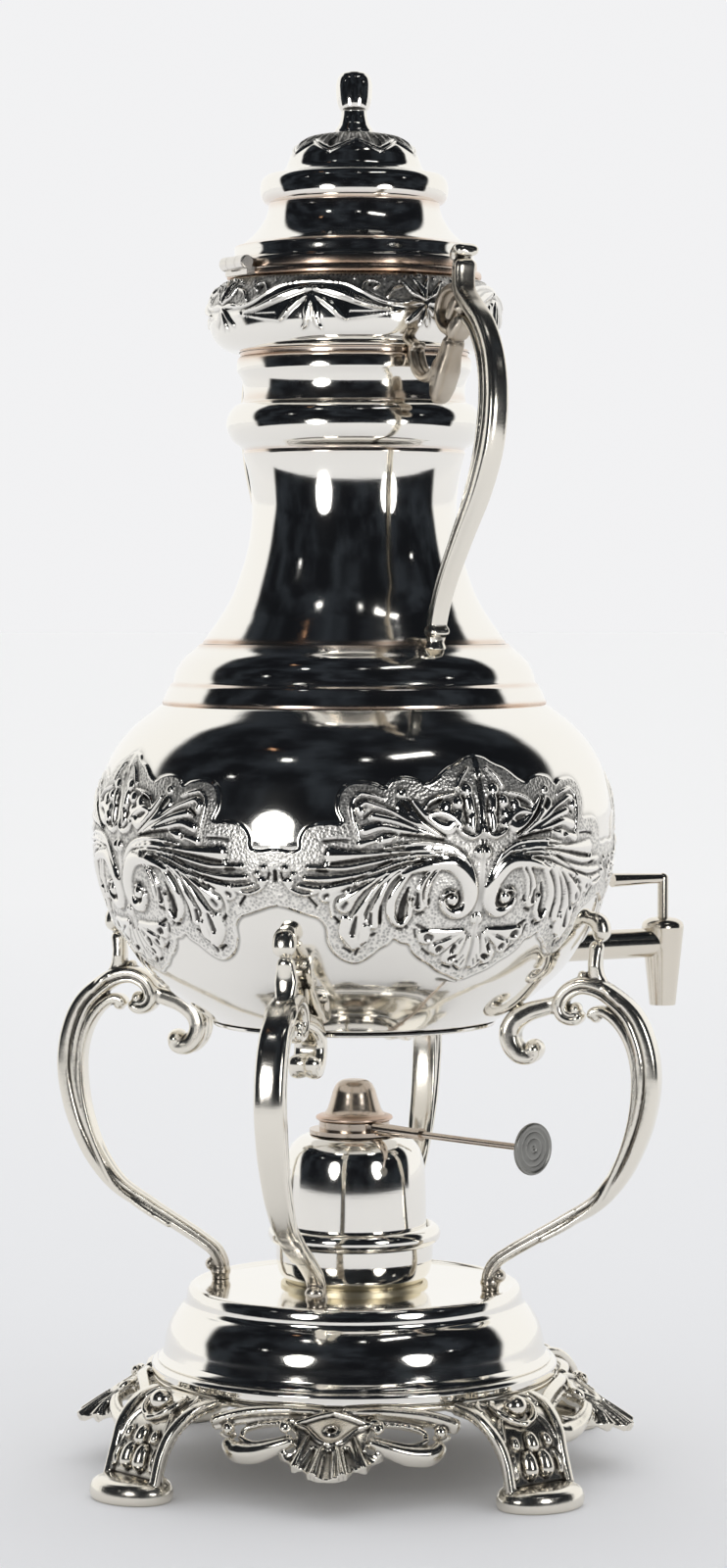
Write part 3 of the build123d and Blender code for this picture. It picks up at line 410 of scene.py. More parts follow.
turned("shoulder_look", walled(shoulder_line), "urn", ["shoulder_ring"],
       (264.0, 0.8, 0.9), (270.6, 0.7, 0.4), (284.2, 1.0, 0.5))
turned("neck_look", walled(neck_profile), "urn", ["neck"],
       (285.2, 1.0, 0.7), (350.6, 0.9, 0.4), (368.6, 1.6, 0.3), (383.4, 2.2, 0.7))
turned("rim_look", rim_line, "urn", ["mouth_rim"], (410.0, 2.4, 1.0))
turned("lid_look", np.vstack([lid_profile, lid_inner]), "lid", ["lid_shell"],
       (412.6, 2.4, 1.0), (435.2, 1.8, 0.45), (420.8, 0.7, 0.3))
turned("finial_look", np.vstack([finial_line, [(0.4, 454.8), (1.85, 454.8), (1.9, 459.7)]]),
       "lid", ["finial"], turns=128)
drum_inner = [(30, 61.5), (0.4, 61.5), (0.4, 60.3), (30, 60.3), (53.5, 60.3), (56.8, 58.6), (57.2, 55.2),
              (60.8, 51.4), (63.6, 46.0), (64.7, 41), (64.8, 36.5)]
turned("drum_look", np.vstack([drum_line, drum_inner]), "urn", ["base_drum"])
turned("ring_look", ring_line, "urn", ["base_ring"])


# Chased ornament, drawn as strokes over (sideways, upwards) in millimetres

STROKE_ROUNDNESS = 0.62


def strokes(u, v, drawn):
    """Greatest height of the drawn strokes at each point; a stroke is (points, half-widths, height)."""
    level = np.zeros_like(u)
    for points, widths, height in drawn:
        path = smooth(points, 0.25) if len(points) > 1 else np.array(points, float)
        run = run_lengths(path)
        share = run / run[-1] if run[-1] > 0 else run
        width = np.interp(share, np.linspace(0, 1, len(widths)), widths)
        reach = width.max() + 0.3
        near = ((u > path[:, 0].min() - reach) & (u < path[:, 0].max() + reach)
                & (v > path[:, 1].min() - reach) & (v < path[:, 1].max() + reach))
        pu, pv = u[near], v[near]
        far = np.full(pu.shape, 9.0)
        for (x, y), w in zip(path, width):
            far = np.minimum(far, ((pu - x) ** 2 + (pv - y) ** 2) / (w * w))
        level[near] = np.maximum(level[near], height * share_of(1 - far) ** STROKE_ROUNDNESS)
    return level


def inside(u, v, corners):
    """How far inside a closed outline each point lies, in millimetres, negative outside."""
    path = np.array(corners, float)
    count = np.zeros(u.shape, int)
    far = np.full(u.shape, 99.0)
    for (x0, y0), (x1, y1) in zip(path, np.roll(path, -1, 0)):
        cross = (y0 <= v) != (y1 <= v)
        with np.errstate(divide="ignore", invalid="ignore"):
            hit = x0 + (v - y0) / (y1 - y0) * (x1 - x0) > u
        count += (cross & hit)
        length = (x1 - x0) ** 2 + (y1 - y0) ** 2 + 1e-9
        t = np.clip(((u - x0) * (x1 - x0) + (v - y0) * (y1 - y0)) / length, 0, 1)
        far = np.minimum(far, np.hypot(u - x0 - t * (x1 - x0), v - y0 - t * (y1 - y0)))
    return np.where(count % 2 == 1, far, -far)


def blurred(field, passes):
    """Field smoothed a little, wrapped round sideways."""
    for _ in range(passes):
        field = (np.roll(field, 1, 1) + 2 * field + np.roll(field, -1, 1)) / 4
        field = np.vstack([field[:1], (field[:-2] + 2 * field[1:-1] + field[2:]) / 4, field[-1:]])
    return field


def upset(points):
    """The chased lines lean a little in the metal; this sets them upright about their middle."""
    return [(u + 1.0 - 0.06 * v, v) for u, v in points]


def dotted(start, end, count, size=0.34):
    """Row of small punch marks."""
    (x0, y0), (x1, y1) = start, end
    return [([(x0 + (x1 - x0) * k / (count - 1), y0 + (y1 - y0) * k / (count - 1))], [size], 1.0)
            for k in range(count)]


edge_top = [(0, 30.6), (-4.2, 29.4), (-6.4, 27.7), (-8.4, 26.6), (-11.2, 25.4), (-13.9, 23.4), (-16, 21.6),
            (-19.4, 20), (-21.3, 21.2), (-24.8, 22.3), (-28.4, 22.3), (-31.8, 21.2), (-33.7, 18.9),
            (-36.2, 20.2), (-40.2, 21), (-44.2, 20.9), (-47.3, 19.4), (-49.4, 16), (-49.6, 11),
            (-48.1, 6.9), (-51.6, 6.8), (-56.4, 6.4), (-59.9, 4.6), (-61.7, 1), (-61.9, -2.2),
            (-65.0, -2.9), (-70.6, -2.8)]
edge_foot = [(-70.6, -21.0), (-67.0, -22.2), (-63.6, -23.4), (-59.5, -24.8), (-56.0, -26.0), (-53.8, -29),
             (-53.4, -34), (-51.3, -38.4), (-47.6, -41.4), (-43.4, -42.5), (-40.0, -41.2), (-37.6, -39.4),
             (-34.8, -36.9), (-31.4, -34.9), (-30, -33.2), (-27.2, -34.7), (-24.6, -35.2), (-22.7, -38.2),
             (-19.5, -41), (-15.6, -43.2), (-11.4, -46.2), (-6.3, -48.3), (-2.4, -50.0), (0, -50.5)]
cartouche_edge = edge_top + edge_foot

wing = [
    # upper leaf
    ([(-15, 1.3), (-19, 4), (-23.5, 7.5), (-27.8, 12)], [0.5, 1.1, 1.7, 2.7], 1.15),
    ([(-28, 16.8)], [1.7], 0.9),
    ([(-17, 1.4), (-24, 4.4), (-31, 7.3), (-38, 9)], [0.4, 1.0, 1.3, 1.5], 0.95),
    ([(-21, 4.6), (-27, 7.6), (-32, 10.6), (-36, 12.2), (-40.6, 13.6), (-42.6, 12.2), (-42, 10.6)],
     [0.4, 0.7, 0.9, 0.9, 1.0, 1.2, 1.4], 1.05),
    ([(-41.8, 16.8), (-44.4, 14.2), (-44.6, 9), (-43.7, 4), (-43.2, 1)], [0.6, 0.8, 0.9, 0.8, 0.6], 0.7),
    ([(-40.8, 16.8), (-37, 15.9), (-34, 14.8)], [0.9, 0.8, 0.3], 0.75),
    ([(-22, 2.6), (-30, 4.3), (-36, 5.4), (-41, 4.1)], [0.5, 1.1, 1.3, 1.8], 1.0),
    ([(-30, 2.6), (-36.5, 0.9), (-40, 0.2), (-42.8, -0.6)], [0.4, 1.9, 0.9, 1.4], 0.9),
    # long lobes of the wing
    ([(-6, -7.5), (-9, -3.8), (-14, -1.2), (-20, -0.5), (-28, -0.7), (-35, -1.8)],
     [0.5, 0.7, 0.7, 0.7, 0.7, 0.4], 0.9),
    ([(-4, -13), (-6, -8.5), (-9.5, -4.9), (-14, -2.5), (-20, -1.7), (-28, -1.8)],
     [0.5, 0.7, 0.7, 0.6, 0.5], 0.85),
    ([(-12, -3.8), (-20, -2.8), (-30, -2.9), (-38, -3.6), (-46, -4), (-52.5, -4)],
     [0.4, 0.6, 0.7, 0.9, 1.4, 2.5], 1.1),
    ([(-54.1, -7)], [1.3], 0.9),
    ([(-14, -4.6), (-22, -4.0), (-31, -4.9), (-40, -6.7), (-48, -8.2), (-54, -8.3), (-60.5, -8.3)],
     [0.4, 0.6, 0.7, 0.9, 1.0, 1.0, 0.9], 1.0),
    ([(-20, -5.2), (-29, -6.1), (-38, -9), (-48, -11.2), (-56, -12), (-61.8, -11.8)],
     [0.4, 0.7, 0.8, 1, 1.3, 1.0], 1.05),
    ([(-26, -7.2), (-34, -9.6), (-42, -12.1), (-50, -14), (-58, -15.2), (-64, -14.3)],
     [0.4, 0.6, 0.7, 0.9, 1.1, 0.9], 1.0),
    ([(-56.5, -15.9), (-62, -17.2), (-66.4, -15.8), (-69, -12.6)], [0.4, 0.7, 0.7, 0.5], 0.7),
    ([(-67.2, -13)], [1.7], 1.0), ([(-65.6, -10.8)], [1.2], 0.8), ([(-68, -8.8)], [1.3], 0.8),
    # drops under the wing
    ([(-44, -13.4), (-49, -14.4), (-52, -15.6), (-55.4, -17.6)], [0.5, 0.8, 1.3, 2.4], 1.0),
    ([(-48.3, -15.4)], [1.5], 0.9),
    ([(-36, -10.6), (-40, -13), (-45, -16.6), (-49.4, -20.8)], [0.5, 0.8, 1.5, 3.0], 1.15),
    ([(-53.6, -25), (-53.8, -21), (-52.5, -17.8), (-49.8, -16.4)], [0.5, 0.7, 0.7, 0.4], 0.7),
    ([(-30, -8), (-36, -12.2), (-41, -18), (-45, -24.6), (-47.3, -30)], [0.4, 0.8, 1.1, 1.8, 2.4], 1.1),
    ([(-49.4, -26), (-48.4, -31), (-46.8, -34)], [1.8, 3.6, 3.2], 0.8),
    ([(-44.6, -24), (-43.4, -30), (-44.2, -33.6)], [1.4, 2.6, 2.0], 0.8),
    ([(-28, -8), (-33.6, -12), (-37.3, -18), (-39.6, -24), (-40.2, -27.4)],
     [0.4, 0.9, 1.1, 1.4, 2.1], 1.05),
    ([(-25, -7.6), (-30, -13), (-33.6, -19.6), (-33.5, -25), (-30.6, -27.6), (-27.6, -24.6), (-27.4, -19)],
     [0.5, 1.2, 1.6, 1.7, 1.4, 1.1, 0.8], 1.2),
    ([(-19, -8.6), (-22.6, -12.6), (-24.6, -18), (-24.2, -21.4)], [0.5, 1.0, 1.3, 2.1], 1.05),
    ([(-17.6, -9.4), (-20.4, -13), (-21.6, -18), (-21.4, -21)], [0.4, 0.8, 0.8, 0.9], 0.9),
    # volute
    ([(-30, -10.5), (-24, -8.4), (-18, -7.2), (-12, -7.6), (-8, -11.2), (-6, -16), (-6.1, -20.4),
      (-8.4, -23.6), (-12, -24.2), (-15.2, -22), (-16, -18.8), (-14.2, -16.5), (-11.9, -16.4)],
     [0.5, 1.4, 2.0, 2.4, 2.9, 3.1, 3.1, 2.8, 2.4, 2.0, 1.5, 1.0, 0.7], 1.5),
    ([(-12.3, -19.2)], [2.3], 1.45),
    # balls on the middle line
    ([(-2.4, -3.8)], [2.1], 1.5), ([(-2.6, -26.3)], [2.4], 1.5),
    # shell above
    ([(-10.2, 4.6), (-8.2, 2.4), (-4.9, 1.3), (-2.3, 2.6), (-0.8, 5)], [0.5, 1.0, 1.1, 1.0, 0.8], 1.3),
    ([(-5, 17.6)], [2.3], 1.1), ([(-8.8, 13.4)], [2.2], 1.15), ([(-13.6, 12)], [2.4], 1.05),
    ([(-4.6, 14), (-4.4, 11)], [1.9, 1.7], 1.1),
    ([(-3.6, 9.2), (-4.6, 6.4), (-4.4, 4)], [1.4, 1.9, 1.5], 0.9),
    ([(1.2, 23.2)], [2.4], 1.3), ([(1.1, 20), (0.9, 15), (0.5, 9)], [1.1, 1.1, 0.4], 1.1),
    ([(-3.2, 25.2), (-6.4, 22), (-8.6, 18.4)], [0.6, 0.9, 0.8], 0.9),
    ([(-9.4, 16.6), (-14, 15.5), (-18, 13.9), (-20.6, 11.8)], [0.4, 0.8, 1.2, 1.0], 1.1),
    ([(-9, 5.4), (-12, 8.4), (-15.6, 9.8), (-20.4, 9)], [1.4, 1.6, 1.4, 0.8], 1.15),
    ([(-9.6, 9), (-13, 4.6), (-17, 5.4), (-21, 9.4), (-24.6, 14)], [2.0, 2.2, 2.0, 1.4, 0.8], 0.85),
    # shell below
    ([(-7.6, -30.4), (-14, -31.3), (-21.5, -32.2)], [1.0, 1.8, 3.0], 0.95),
    ([(-8, -31.5), (-12, -34), (-17, -36.4)], [0.8, 1.8, 3.0], 0.95),
    ([(-6.6, -31.6), (-8, -35), (-11.4, -40.2)], [0.9, 2.0, 3.4], 0.95),
    ([(-4.6, -33), (-5.4, -38), (-6.2, -42.6)], [0.8, 2.0, 2.8], 0.9),
]
pits = [
    ([(-26.4, 10.8), (-28, 12.8)], [1.2, 1.5], 0.9), ([(-28, 16.8)], [0.7], 0.8),
    ([(-15, 0.4), (-22, 1.6), (-28, 2.3), (-35, 3.0)], [0.3, 0.45, 0.5, 0.3], 0.8),
    ([(-14.6, 1.9), (-19, 5.2), (-23.4, 9.6), (-25.8, 14.6)], [0.4, 0.5, 0.6, 0.4], 0.9),
    ([(-36.5, 0.9)], [1.0], 0.9), ([(-42.2, 13.3), (-43.2, 12.6)], [0.45, 0.4], 0.8),
    ([(-41, 8.4), (-38.4, 10.6)], [0.6, 0.5], 0.8),
    ([(-54.6, 0.4), (-50, 0.9), (-46.2, 0.8)], [0.7, 0.5, 0.3], 0.7),
    ([(-54.4, -9.4), (-57.4, -9.2)], [0.7, 0.6], 0.7),
    ([(-71.5, -9.6), (-71.6, -12.6)], [0.6, 0.5], 1.0), ([(-69.8, -10.2), (-69.3, -12)], [0.5, 0.4], 0.9),
    ([(-56.3, -14.7)], [0.6], 0.8), ([(-45.4, -12.8), (-45.5, -14.2)], [0.45, 0.5], 0.8),
    ([(-47.5, -14.9), (-49.2, -15.8)], [0.7, 0.6], 0.9),
    ([(-54.6, -17.1), (-55.6, -17.7)], [0.9, 1.2], 0.8),
    ([(-48.6, -19.8), (-49.8, -21.2)], [1.0, 1.3], 0.8),
    ([(-45.7, -25), (-46.6, -28), (-47.3, -30.4)], [0.6, 1.1, 1.3], 1.2),
    ([(-53.2, -25), (-52.0, -26.5)], [0.5, 0.7], 0.9), ([(-61, -18.4), (-58.8, -21.2)], [0.5, 0.6], 0.8),
    ([(-40.6, -23.8), (-41, -27)], [0.6, 0.9], 1.1), ([(-37.1, -21), (-37.5, -27.2)], [0.35, 0.7], 1.0),
    ([(-40.7, -31.5), (-39.5, -30.9)], [0.5, 0.5], 0.8), ([(-43.0, -27.3)], [0.6], 0.9),
    ([(-51.0, -36.2), (-48.6, -37.7)], [0.5, 0.7], 0.9),
    ([(-45.7, -36.3), (-46.7, -38.5)], [0.5, 0.7], 0.9),
    ([(-44.4, -35), (-42.8, -33.9)], [0.5, 0.4], 0.8),
    ([(-27.6, -15), (-29.4, -19.6), (-30.6, -25.8)], [0.5, 1.2, 1.2], 1.3),
    ([(-31.6, -29.2), (-30, -29.6)], [0.6, 0.5], 0.9), ([(-28.5, -28.8)], [0.8], 1.0),
    ([(-24.7, -17), (-24.8, -20.8)], [0.8, 1.2], 1.2), ([(-20.8, -19.2), (-20.9, -20.4)], [0.6, 0.6], 0.9),
    ([(-25, -24.4), (-22.4, -23.6)], [0.5, 0.4], 0.9), ([(-26.3, -18.8)], [0.6], 0.8),
    ([(-16.8, -18.9), (-14.2, -17.6), (-12.4, -17.3)], [0.6, 0.7, 0.3], 1.0),
    ([(-10.1, -16.6), (-9.7, -19), (-10.2, -20.8), (-12, -21.9), (-13.6, -21.2)],
     [0.4, 0.5, 0.5, 0.4, 0.3], 0.9),
    ([(1.3, 21.6), (1.2, 17), (0.6, 11), (0, 7.4)], [2.9, 2.3, 1.4, 0.4], 1.1),
    ([(-2.8, 14.6), (-2.6, 8.4), (-3.4, 3.4)], [0.5, 0.6, 0.4], 0.9),
    ([(-6.8, 15.6), (-6.7, 11), (-6.2, 6.4)], [0.6, 0.5, 0.6], 0.9),
    ([(-14.6, 14.3), (-18.2, 12.9), (-19.4, 12.0)], [0.5, 0.8, 0.7], 0.9),
    ([(-20.9, -32.2), (-19.6, -32.5)], [1.5, 1.3], 1.3), ([(-16.2, -36.7)], [1.5], 1.3),
    ([(-18, -34.7)], [0.65], 0.9), ([(-11.0, -37.6), (-10, -36)], [0.9, 0.9], 1.2),
    ([(-11.2, -40.6), (-9.4, -39.9)], [1.1, 1.0], 1.3), ([(-8, -42)], [0.65], 0.9),
    ([(-5.4, -41), (-6.4, -43)], [0.4, 0.4], 0.7),
    ([(-2.9, -36.8), (-3.0, -39.4), (-3.1, -42.6)], [0.35, 0.7, 0.6], 1.0),
    ([(-13.6, -43.5), (-10.4, -44.6)], [0.4, 0.6], 0.8), ([(-8.8, -44.0), (-6.8, -45.6)], [0.5, 0.4], 0.8),
    ([(-22.4, -36.8), (-19.8, -38.9)], [0.5, 0.6], 0.8),
    ([(-24.4, -28.2), (-21.4, -29.5)], [0.7, 0.4], 1.0),
    ([(-25.5, -29.6), (-25.1, -32.4)], [0.5, 0.4], 0.8), ([(-3.8, -45.8)], [0.8], 0.8),
    ([(-8.6, -34.6), (-7.4, -33)], [0.4, 0.3], 0.7),
]
punched_rows = [((-52.6, -7), (-45, -6), 9), ((-44, -5.8), (-40.5, -5.2), 4),
                ((-54.6, -14.3), (-46, -11.6), 11), ((-48, -24.2), (-45.8, -20.6), 5),
                ((-45.4, -19.6), (-42.2, -15.8), 6), ((-42.3, -25.6), (-41.2, -20.6), 7),
                ((-41, -19.4), (-39.4, -15.6), 5), ((-25.7, -17.2), (-22.2, -11), 9),
                ((-17, -34.3), (-12.6, -32.2), 6), ((-7.2, -41), (-6.2, -39.4), 3),
                ((-24, -6.6), (-12, -5.4), 16), ((-45.4, -12.4), (-33, -5.8), 16, 0.42)]
pits += [mark for row in punched_rows for mark in dotted(*row)]

PATTERN_TURN = -91.7
bowl_line = np.vstack([smooth(bowl_lower, 0.05)[:-1], smooth(bowl_upper, 0.05)])
bowl_run = run_lengths(bowl_line)
bowl_run -= np.interp(SEAM, bowl_line[:, 1], bowl_run)


def four_repeats(half):
    """A half repeat with its mirror image, four times round."""
    return np.tile(np.hstack([half, half[:, ::-1]]), (1, 4))


def half_repeat(radius, turns, rows):
    """Places sideways and upwards in half of a quarter turn, from its edge to its middle line."""
    reach, count = math.pi / 4 * radius, turns // 8
    return np.meshgrid(np.linspace(-reach, 0, count, endpoint=False) + reach / count / 2, rows)


GROUND_HEIGHT = 0.55
CREST_HEIGHT = 0.18  # of the line round a cartouche, over its ground
TROUGH_DEPTH = 0.25  # of the line outside it, under the bowl's own surface
PIT_DEPTH = 0.85


def bowl_relief(rows, turns):
    """Relief, recesses and matted ground of the four cartouches over a whole turn of the bowl."""
    u, v = half_repeat(BELLY, turns, rows)
    depth = inside(u, v, smooth(cartouche_edge, 1.0))
    ground = share_of(depth / 0.9)
    ground = ground * ground * (3 - 2 * ground)
    crest = np.exp(-((depth - 0.5) / 0.42) ** 2)
    ribs, holes = (strokes(u, v, [(upset(points), widths, height) for points, widths, height in drawn])
                   for drawn in (wing, pits))
    level = GROUND_HEIGHT * ground + CREST_HEIGHT * crest + ribs * ground
    level -= np.minimum(holes * PIT_DEPTH, level + TROUGH_DEPTH) * ground
    level -= TROUGH_DEPTH * np.exp(-((depth + 0.35) / 0.3) ** 2) * (v < -2)
    matt = share_of(1 - ribs * 4) * share_of((depth - 0.9) * 2)
    # the two halves flow into each other at the middle line
    near = np.exp(-(np.hstack([u, -u[:, ::-1]]) / 1.1) ** 2)
    level, holes = (np.hstack([layer, layer[:, ::-1]]) for layer in (level, holes))
    level, holes = (np.tile(layer + near * (blurred(layer, 12) - layer), (1, 4))
                    for layer in (level, holes))
    return blurred(level, 1), share_of(holes), four_repeats(matt)


def recesses(field, spread, gain):
    """Dark share of a relief: how far each point lies under its smoothed neighbourhood."""
    return share_of((blurred(field, spread) - field) * gain)


def chased_shell(name, outer, inner, layers, body, nodes):
    """Turned wall whose outer face carries relief; layers are relief, dark share and matted share."""
    outline = np.vstack([outer, inner])
    blank = np.zeros((len(inner), layers[0].shape[1]))
    relief, dark, matted = (np.vstack([layer, blank]) for layer in layers)
    shell = lathe(name, outline, turns=blank.shape[1], shift=relief)
    way = -1 if runs_downward(outline) else 1
    paint(shell.data, "oxide", dark[::way])
    paint(shell.data, "matted", matted[::way])
    return dress(shell, body, silver, nodes)


bowl_turns = 1520
chased_from, chased_to = -53, 32.5
runs = np.concatenate([np.linspace(bowl_run[0], chased_from, 14)[:-1],
                       np.arange(chased_from, chased_to, 0.36),
                       np.linspace(chased_to + 0.1, bowl_run[-1], 14)])
relief, hollow, matt = bowl_relief(np.where(runs > 0, runs * 1.05, runs), bowl_turns)
dark = share_of(recesses(relief, 12, 2.2) + 0.75 * hollow)
shift = int(round(PATTERN_TURN / 360 * bowl_turns)) - bowl_turns // 8
chased_shell("bowl_look", points_at(bowl_line, bowl_run, runs),
             points_at(bowl_line, bowl_run, runs[::-8]) - [WALL * 1.25, 0],
             [np.roll(layer, shift, 1) for layer in (relief, dark, matt)], "urn", ["bowl"])


# The burner's head: snuffer, gallery, sleeve, spindle and disc knob

snuffer_line = profile(
    [(12.6, 119.1), (13.3, 119.6), (13.3, 120.3), (12.2, 121.0)],
    [(10.9, 121.2), (9.7, 122.4), (8.8, 124.6), (8.0, 127.2), (7.2, 129.8), (6.0, 131.8), (4.0, 133.0),
     (1.6, 133.35), (0.2, 133.4)],
    step=0.3, corner=0.2,
)
snuffer_inner = [(0.2, 132.5), (3.6, 132.1), (5.4, 130.8), (6.4, 129.2), (7.2, 126.8), (8.0, 124.2),
                 (9.0, 121.8), (10.4, 120.6), (11.0, 119.1)]
turned("snuffer_look", np.vstack([snuffer_line, snuffer_inner]), "snuffer", ["snuffer_cap"],
       (120.6, 1.0, 0.5), slot="fitting_metal", material=sleeve_metal, turns=128)

font_line = profile(
    [(21.1, 62.9), (23.8, 68.6), (25.0, 72.9)],
    [(25.0, 86.0), (24.97, 92.0), (24.8, 98.0), (24.5, 102.0), (23.9, 105.4), (22.8, 108.8), (21.0, 111.4),
     (18.2, 113.5), (14.6, 114.4), (9.5, 114.6)],
)
turned("font_look", walled(font_line, 0.7), "burner", ["burner_font"])


def node_middle(label):
    """Middle of a solid's box."""
    thing = frame["nodes"][label]
    corners = np.array([thing.matrix_world @ Vector(corner) for corner in thing.bound_box])
    return Vector((corners.min(0) + corners.max(0)) / 2)


KNOB_TURN = -75.0
disc_line = profile(
    [(0.3, 0.72), (0.9, 0.74), (1.1, 0.6), (1.3, 0.74), (3.4, 0.72), (3.6, 0.64), (3.8, 0.72), (5.6, 0.7),
     (5.8, 0.62), (6.0, 0.7), (7.4, 0.75)],
    [(7.9, 1.05), (8.5, 0.95), (8.75, 0.4), (8.6, -0.4), (8.0, -0.75)],
    [(4.0, -0.7), (0.3, -0.7)],
    step=0.3, corner=0.15,
)
disc = lathe("disc_look", disc_line, centre=(0.0, 0.0), turns=96)
disc_tip = Matrix.Rotation(math.radians(KNOB_TURN), 4, "Z") @ Matrix.Rotation(math.radians(90), 4, "Y")
disc.data.transform(Matrix.Translation(node_middle("knob_disc")) @ disc_tip)
dress(disc, "knob", turned_steel, ["knob_disc"])


# The embossed collar: half of one repeat, from the leaf's middle (0) to the flower's middle (-39.4)

collar_strokes = [
    ([(-39.4, 0.4), (-31, 0.3), (-24, 1.2), (-17, 4.6), (-12, 7.2), (-5, 8.4), (0, 8.8)],
     [0.7, 0.7, 0.8, 0.9], 0.8),
    ([(-1, 5.6), (-6, 4.6), (-12, 2.6), (-20, -0.2), (-27, -1.6)], [1.4, 1.9, 1.7, 1.1, 0.5], 1.1),
    ([(-2, 3), (-7, -0.5), (-10, -3.6), (-12, -5)], [1.0, 1.5, 1.3, 0.5], 0.8),
    ([(-0.6, 3), (-1.5, -2), (-2, -6.5), (-3.4, -8)], [1.1, 1.5, 1.3, 0.4], 0.8),
    ([(-12, -4.8), (-18, -4.0), (-24, -3.0), (-30, -2.2)], [0.5, 0.45, 0.4, 0.3], 0.5),
    ([(-17, 5.6), (-19, 8), (-22, 8.4), (-23.4, 6.8), (-21.8, 5.6)], [0.9, 0.8, 0.7, 0.7, 0.8], 0.9),
    ([(-26, 2.4), (-28, 5.2), (-31.5, 6.4)], [0.6, 1.0, 0.8], 0.8),
    ([(-39.4, 2), (-38.5, 6), (-36.5, 9.4)], [0.7, 1.4, 0.6], 1.1),
    ([(-39.2, 1.6), (-35.5, 4), (-32, 7.8)], [0.6, 1.3, 0.6], 1.0),
    ([(-39, 0.6), (-34.5, 0.9), (-30.6, 0.4)], [0.6, 1.2, 0.5], 0.9),
    ([(-39.2, 0), (-36, -3.4), (-33.2, -5.8)], [0.6, 1.2, 0.5], 0.9),
    ([(-39.4, -0.4), (-38.8, -4), (-37.8, -7)], [0.6, 1.1, 0.5], 0.8),
    ([(-36.2, 10.8)], [1.2], 0.9), ([(-33.4, 10.2)], [1.1], 0.9), ([(-38.9, 11.2)], [1.2], 0.9),
    ([(-30.8, 8.6)], [0.9], 0.8), ([(-15, 9.6)], [0.9], 0.7), ([(-25.4, 9.6)], [0.8], 0.7),
]
collar_strokes += [(points, [0.5], 0.6) for points, _, _ in dotted((-28, 11.2), (-1, 11.4), 19)]
collar_pits = [
    ([(-3, 5.0), (-8, 3.4), (-14, 1.2)], [0.35, 0.5, 0.3], 0.7),
    ([(-5, 1.6), (-8, -1.6)], [0.4, 0.4], 0.6), ([(-1.4, 0.8), (-2.2, -4.4)], [0.4, 0.4], 0.6),
    ([(-20.2, 6.8)], [0.7], 0.9), ([(-38, 5), (-37.4, 7.4)], [0.4, 0.3], 0.7),
    ([(-36, 3.6), (-33.8, 5.8)], [0.4, 0.3], 0.7),
]
collar_pits += dotted((-13.6, -2.8), (-26, -2.8), 12, 0.4)

COLLAR_TURN = -136.5
collar_line = profile(
    [(40.6, 384.45), (41.8, 384.5), (44.8, 385.7), (48.0, 388.6), (49.8, 393.0), (50.2, 397.5),
     (49.6, 401.4), (47.6, 405.2), (45.0, 407.9), (43.4, 409.0)],
    [(42.6, 409.35)],
    corner=0.2,
)


def collar_layers(line, turns):
    """Relief of the collar's four repeats over a whole turn."""
    run = run_lengths(line)
    u, v = half_repeat(50.2, turns, run - np.interp(398.0, line[:, 1], run))
    slender = [(points, [width * 0.74 for width in widths], height)
               for points, widths, height in collar_strokes]
    ribs, holes = strokes(u, v, slender), strokes(u, v, collar_pits)
    border = np.interp(u, [-39.4, -31, -24, -17, -12, -5, 0], [0.4, 0.3, 1.2, 4.6, 7.2, 8.4, 8.8])
    swell = 0.5 * share_of((v - border) / 1.2) * share_of((13.2 - v) / 1.5)
    matt = share_of((v - border - 0.8) * 1.5) * share_of(1 - ribs * 4) * share_of(13.4 - v)
    level, holes, matt = map(four_repeats, (ribs * 1.25 - holes * 0.6 + swell * 0.2, holes, matt))
    level = blurred(level, 2)
    dark = share_of(recesses(level, 8, 2.6) + 0.6 * holes + 0.15 * matt)
    shift = int(round((COLLAR_TURN - 45) / 360 * turns))
    return [np.roll(layer, shift, 1) for layer in (level, dark, matt)]


collar_turns = 1200
collar_outer = along_line(collar_line, np.arange(0, 36.4, 0.26))
chased_shell("collar_look", collar_outer, (collar_outer - [WALL, 0])[::-6],
             collar_layers(collar_outer, collar_turns), "urn", ["collar"])


# The embossed dome of the lid: eight pointed petals round the finial's foot

DOME_TURN = CAMERA_TURN + 23.5
dome_line = profile(
    [(27.2, 445.45), (25.6, 445.75), (24.8, 446.3)],
    [(23.6, 447.6), (22.7, 449.8), (21.9, 452.0), (20.3, 454.5), (17.9, 456.6), (14.8, 458.2),
     (11.2, 459.2), (6.9, 459.65)],
    corner=0.2,
)


def dome_layers(line, turns):
    """Relief of the dome: wavy double edge, a hatched leaf in each petal, matted ground round the foot."""
    run = run_lengths(line)
    half_petal = 22.5
    angle = (np.arange(turns) / turns * 360 - DOME_TURN + half_petal) % (2 * half_petal) - half_petal
    side, rows = np.meshgrid(angle / half_petal, run)
    tip = np.interp(451.6, line[:, 1], run)
    inward = rows - (tip + 4.6 * np.abs(side) ** 1.15)
    level = 0.7 * np.exp(-(inward / 0.42) ** 2) + 0.5 * np.exp(-((inward - 1.25) / 0.4) ** 2)
    across = side * math.radians(half_petal) * np.interp(rows, run, line[:, 0])
    leaf = share_of(1 - (across / 1.75) ** 2 - ((rows - tip - 4.6) / 2.9) ** 2)
    hatch = 0.5 + 0.5 * np.cos((rows + across * 0.8) * 7.5)
    level += -0.5 * np.sqrt(leaf) + 0.16 * hatch * (leaf > 0.12)
    rays = 0.4 * np.cos(side * math.pi * 5) * share_of((inward - 2.2) / 1.5) * (leaf <= 0)
    level = (level + rays * share_of((13 - rows + tip) / 4)) * share_of((run[-1] - rows) / 1.2)
    matt = share_of((inward - 1.9) * 2) * (leaf <= 0)
    dark = share_of(recesses(level, 6, 2.4) + 0.65 * (leaf > 0.05) + 0.3 * matt)
    return [blurred(level, 1), dark, matt]


